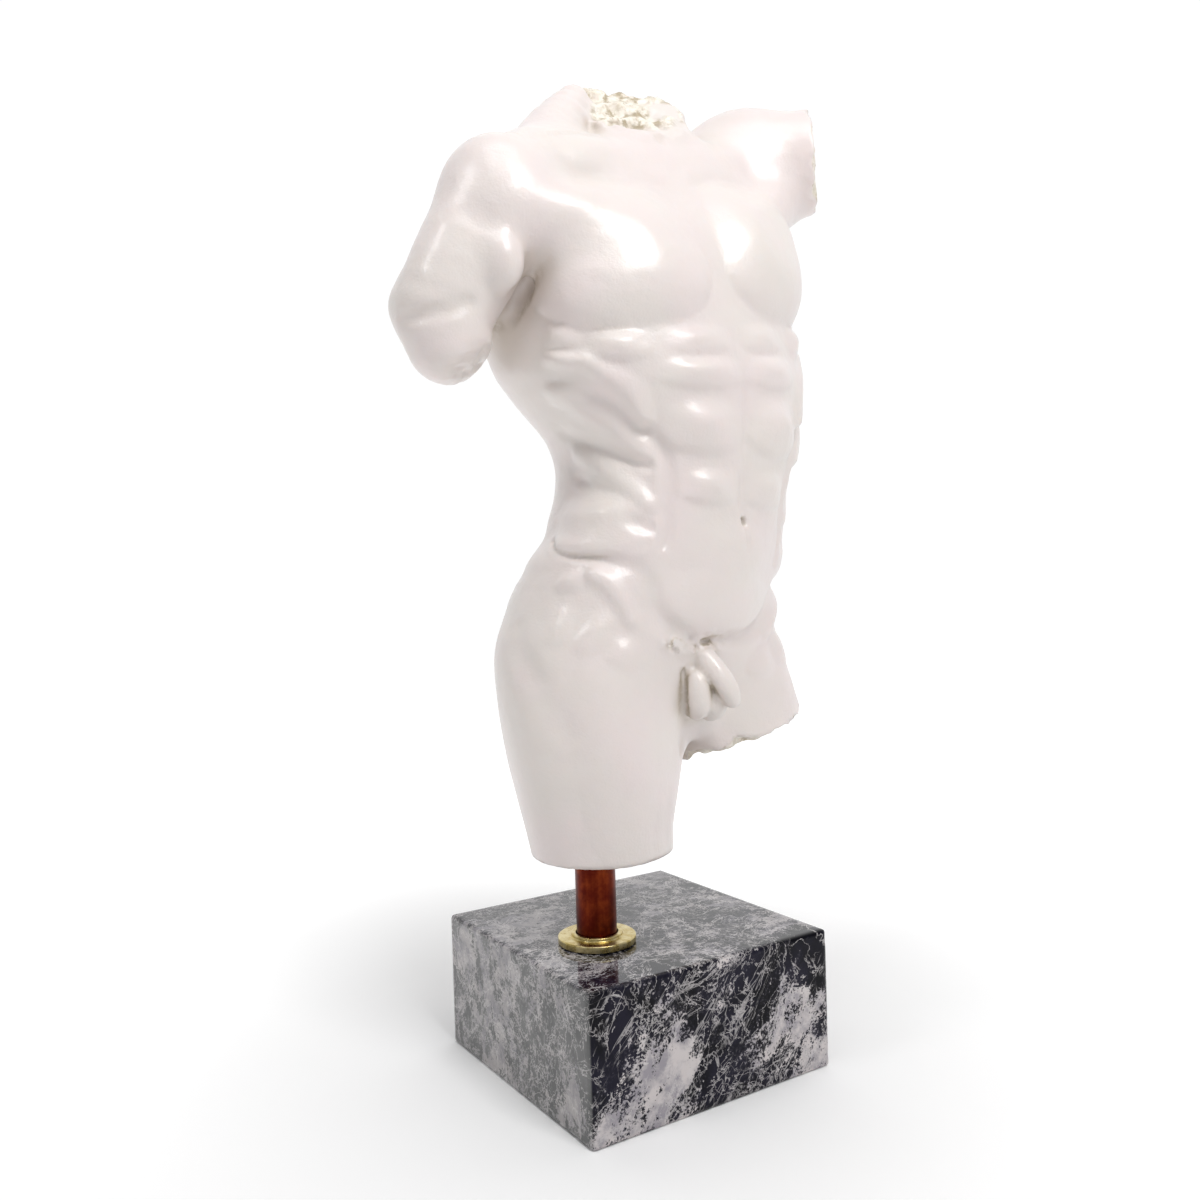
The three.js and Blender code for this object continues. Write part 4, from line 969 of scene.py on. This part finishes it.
# Pale clouds of the block: middle in millimetres, radius, strength; negative ones are dark
PALE_CLOUDS = [
    ((-21, -53, 20), 19, 0.16), ((-25, -53, 2), 16, 0.10), ((2, -53, 44), 16, 0.08),
    ((32, -53, 26), 18, 0.04), ((46, -53, 4), 14, 0.04), ((-46, -53, 4), 14, 0.02),
    ((-42, -53, 40), 22, -0.20), ((16, -53, 34), 24, -0.12), ((2, -53, 12), 18, -0.06),
    ((48, -53, 44), 22, -0.20), ((-50, -53, 22), 16, -0.10),
    ((-53, 40, 40), 14, 0.08), ((-53, 0, 26), 20, 0.05), ((-53, -40, 10), 16, 0.10),
    ((-20, -46, 52), 16, -0.16),
]
# Lean of the mottling and the hairlines from upright, and how far they are drawn out along it
VEIN_LEAN = 0.61
MOTTLE_LENGTH = 1.9
HAIRLINE_LENGTH = 4.0


def veined_marble():
    look = Shading("veined_marble_polished")
    # Painted sheen: the -X side gets a grey base in place of the black of the front, a reflection
    # painted into the colour; that side and the top also get weaker pale clouds and a higher specular
    # level
    painted_sheen_side = look.between(look.node("SeparateXYZ", "X", {0: look.facing}), -0.5, -0.9)
    top = look.between(look.node("SeparateXYZ", "Z", {0: look.facing}), 0.5, 0.9)
    sheen_side_and_top = look.maths("MAXIMUM", painted_sheen_side, top)
    drawn_out = look.leaning(VEIN_LEAN, MOTTLE_LENGTH)
    big = look.noise(30, 5, 0.55, drawn_out, 0.5)
    small = look.noise(150, 9, 0.72, drawn_out, 0.3)
    field = look.maths("ADD", look.maths("MULTIPLY", big, 0.5), look.maths("MULTIPLY", small, 0.7))
    for middle, radius, strength in PALE_CLOUDS:
        field = look.maths("ADD", field, look.maths("MULTIPLY", look.blob(middle, radius), strength))
    speckle = look.maths("SUBTRACT", look.noise(1100, 2, 0.6), 0.5)
    field = look.maths("ADD", field, look.maths("MULTIPLY", speckle, 0.3))
    pale = look.between(field, 0.602, 0.645)
    haze = look.between(field, 0.52, 0.64)
    dark_tone = look.between(look.noise(60, 4), 0.4, 0.65)
    dark = look.mix(dark_tone, (0.003, 0.003, 0.005), (0.012, 0.011, 0.022))
    dark = look.mix(look.maths("MULTIPLY", haze, 0.3), dark, (0.10, 0.095, 0.12))
    # painted sheen grey for the -X side
    painted_sheen_grey = look.mix(dark_tone, (0.085, 0.087, 0.087), (0.15, 0.15, 0.15))
    stone = look.mix(painted_sheen_side, dark, painted_sheen_grey)
    light_tone = look.between(look.noise(110, 6, 0.65), 0.38, 0.62)
    light = look.mix(light_tone, (0.62, 0.575, 0.57), (0.33, 0.31, 0.34))
    cover = look.maths("SUBTRACT", 1.0, look.maths("MULTIPLY", sheen_side_and_top, 0.42))
    stone = look.mix(look.maths("MULTIPLY", pale, cover), stone, light)
    twisted = look.noise(34, 7, 0.62, None, 1.6)
    crossing = look.noise(60, 6, 0.6, look.stretched(1.0, 1.0, 1.0, (0.7, 0.2, 1.1)), 1.2)
    net = look.maths("MAXIMUM", look.line(twisted, 0.5, 0.012), look.line(crossing, 0.47, 0.011))
    hairs = look.noise(70, 5, 0.6, look.leaning(VEIN_LEAN, HAIRLINE_LENGTH), 0.8)
    hairs = look.maths("MAXIMUM", look.line(hairs, 0.46, 0.012), look.line(hairs, 0.56, 0.010))
    veins = look.maths("MAXIMUM", net, look.maths("MULTIPLY", hairs, 0.7))
    broken_up = look.between(look.noise(120, 3), 0.34, 0.52)
    veins = look.maths("MULTIPLY", veins, broken_up)
    stone = look.mix(look.maths("MULTIPLY", veins, 0.8), stone, (0.62, 0.59, 0.59))
    shine = look.maths("ADD", look.maths("MULTIPLY", sheen_side_and_top, 0.35), 0.12)
    look.set(
        Base_Color=stone,
        Specular_IOR_Level=shine,
        Roughness=look.maths("ADD", look.maths("MULTIPLY", look.noise(200, 3), 0.06), 0.04),
        Normal=look.bump(look.noise(260, 3), 0.04, 0.0004),
        IOR=1.5,
    )
    return look.material


def copper():
    look = Shading("copper_aged")
    streaks = look.noise(1.0, 5, 0.6, look.stretched(420, 420, 28))
    patches = look.noise(150, 6, 0.65)
    tone = look.maths("ADD", look.maths("MULTIPLY", streaks, 0.3), look.maths("MULTIPLY", patches, 0.7))
    metal = look.mix(look.between(tone, 0.38, 0.66), (0.085, 0.0058, 0.0016), (0.22, 0.035, 0.007))
    stain = look.between(look.noise(90, 4, 0.7), 0.52, 0.7)
    metal = look.mix(look.maths("MULTIPLY", stain, 0.5), metal, (0.035, 0.003, 0.0015))
    look.set(
        Base_Color=metal,
        Metallic=0.92,
        Roughness=look.maths("ADD", look.maths("MULTIPLY", patches, 0.25), 0.25),
        Normal=look.bump(tone, 0.25, 0.0003),
    )
    return look.material


def brass():
    look = Shading("brass_aged")
    patches = look.noise(240, 5, 0.65)
    metal = look.mix(look.between(patches, 0.4, 0.62), (0.52, 0.40, 0.14), (0.72, 0.62, 0.34))
    spots = look.between(look.noise(900, 3, 0.6), 0.6, 0.7)
    metal = look.mix(look.maths("MULTIPLY", spots, 0.35), metal, (0.20, 0.15, 0.05))
    look.set(
        Base_Color=metal,
        Metallic=1.0,
        Roughness=look.maths("ADD", look.maths("MULTIPLY", patches, 0.3), 0.14),
        Normal=look.bump(look.noise(900, 3), 0.05, 0.0002),
    )
    return look.material


# Stage

BACKDROP_WAY = (0.539, 0.842, 0.0)  # the way that the camera looks
BACKDROP_LIGHT = 1.02
ROOM_LIGHT = 0.27
BACKDROP_EDGES = (-0.1, 0.75)  # share of that way where the room ends and the full light starts
FLOOR_HALF = 6.0
FLOOR_GLOW = 0.55  # light of the floor behind the block, and of the floor far off
FAR_FLOOR_GLOW = 0.35
CHEST = (0.0, 0.0, 0.27)
# Panels: name, azimuth, elevation, distance from the chest, side and power
PANELS = [
    ("key", 0, 40, 0.75, 0.3, 3.1),
    ("top", -32, 64, 0.7, 0.5, 1.8),
    ("side", -90, 38, 1.0, 0.2, 1.1),
]


def make_floor():
    look = Shading("floor_white")
    tone = look.mix(look.noise(3, 2), (0.93, 0.93, 0.935), (0.95, 0.95, 0.95))
    away = look.node("VectorMath", "Value", {0: look.place}, operation="LENGTH")
    behind = look.node("VectorMath", "Value", {0: look.place, 1: BACKDROP_WAY}, operation="DOT_PRODUCT")
    glow = look.maths("MULTIPLY", look.between(away, 0.06, 0.4), look.between(behind, -0.3, 0.1))
    glow = look.maths("MULTIPLY", glow, FLOOR_GLOW)
    far_glow = look.maths("MULTIPLY", look.between(away, 0.7, 1.6), FAR_FLOOR_GLOW)
    glow = look.maths("MAXIMUM", glow, far_glow)
    look.set(
        Base_Color=tone, Roughness=0.8, Specular_IOR_Level=0.1,
        Emission_Color=(1.0, 1.0, 1.0), Emission_Strength=glow,
    )
    corners = [(x * FLOOR_HALF, y * FLOOR_HALF, 0) for x, y in ((-1, -1), (1, -1), (1, 1), (-1, 1))]
    data = bpy.data.meshes.new("floor")
    data.from_pydata(corners, [], [(0, 1, 2, 3)])
    data.materials.append(look.material)
    floor = bpy.data.objects.new("floor", data)
    bpy.context.scene.collection.objects.link(floor)


def make_light(name, azimuth, elevation, distance, side, power):
    """A soft square panel that faces the chest from an azimuth (0 in front, 90 to the +X side)."""
    a, e = math.radians(azimuth), math.radians(elevation)
    back = Vector((math.sin(a) * math.cos(e), -math.cos(a) * math.cos(e), math.sin(e)))
    data = bpy.data.lights.new(name, "AREA")
    data.shape = "RECTANGLE"
    data.size = side
    data.size_y = side
    data.energy = power
    light = bpy.data.objects.new(name, data)
    light.location = Vector(CHEST) + back * distance
    light.rotation_mode = "QUATERNION"
    light.rotation_quaternion = (-back).to_track_quat("-Z", "Y")
    bpy.context.scene.collection.objects.link(light)


def make_world():
    """A white backdrop behind the sculpture that falls off to a dimmer room in front of it."""
    world = bpy.data.worlds.new("studio")
    world.use_nodes = True
    tree = world.node_tree
    direction = tree.nodes.new("ShaderNodeTexCoord").outputs["Generated"]
    facing = tree.nodes.new("ShaderNodeVectorMath")
    facing.operation = "DOT_PRODUCT"
    facing.inputs[1].default_value = BACKDROP_WAY
    tree.links.new(direction, facing.inputs[0])
    fall = tree.nodes.new("ShaderNodeMapRange")
    for socket, value in zip(fall.inputs[1:5], (*BACKDROP_EDGES, ROOM_LIGHT, BACKDROP_LIGHT)):
        socket.default_value = value
    tree.links.new(facing.outputs["Value"], fall.inputs[0])
    tree.links.new(fall.outputs[0], tree.nodes["Background"].inputs["Strength"])
    tree.nodes["Background"].inputs["Color"].default_value = (1.0, 1.0, 1.0, 1)
    bpy.context.scene.world = world


CAMERA_PLACE = (-233.712, -349.614, 187.949)
CAMERA_AZIMUTH = -32.635
CAMERA_ELEVATION = 1.322
CAMERA_ROLL = -1.753
PHOTO_SIDE = 1200
FOCAL_PIXELS = 1080.89


def make_camera():
    a, e, r = (math.radians(v) for v in (CAMERA_AZIMUTH, CAMERA_ELEVATION, CAMERA_ROLL))
    back = Vector((math.sin(a) * math.cos(e), -math.cos(a) * math.cos(e), math.sin(e)))
    level = Vector((math.cos(a), math.sin(a), 0))
    above = back.cross(level)
    right = level * math.cos(r) + above * math.sin(r)
    up = above * math.cos(r) - level * math.sin(r)
    data = bpy.data.cameras.new("camera")
    data.sensor_width = 36
    data.lens = FOCAL_PIXELS / PHOTO_SIDE * data.sensor_width
    data.clip_start = 0.01
    data.clip_end = 50
    camera = bpy.data.objects.new("camera", data)
    turn = Matrix((right, up, back)).transposed().to_4x4()
    camera.matrix_world = Matrix.Translation(Vector(CAMERA_PLACE) * MM) @ turn
    bpy.context.scene.collection.objects.link(camera)
    bpy.context.scene.camera = camera


make_camera()
make_world()
make_floor()
for panel in PANELS:
    make_light(*panel)
bpy.context.scene.view_settings.view_transform = "Standard"

make_torso(white_marble())
make_post(copper())
make_collar(brass())
make_plinth(veined_marble())
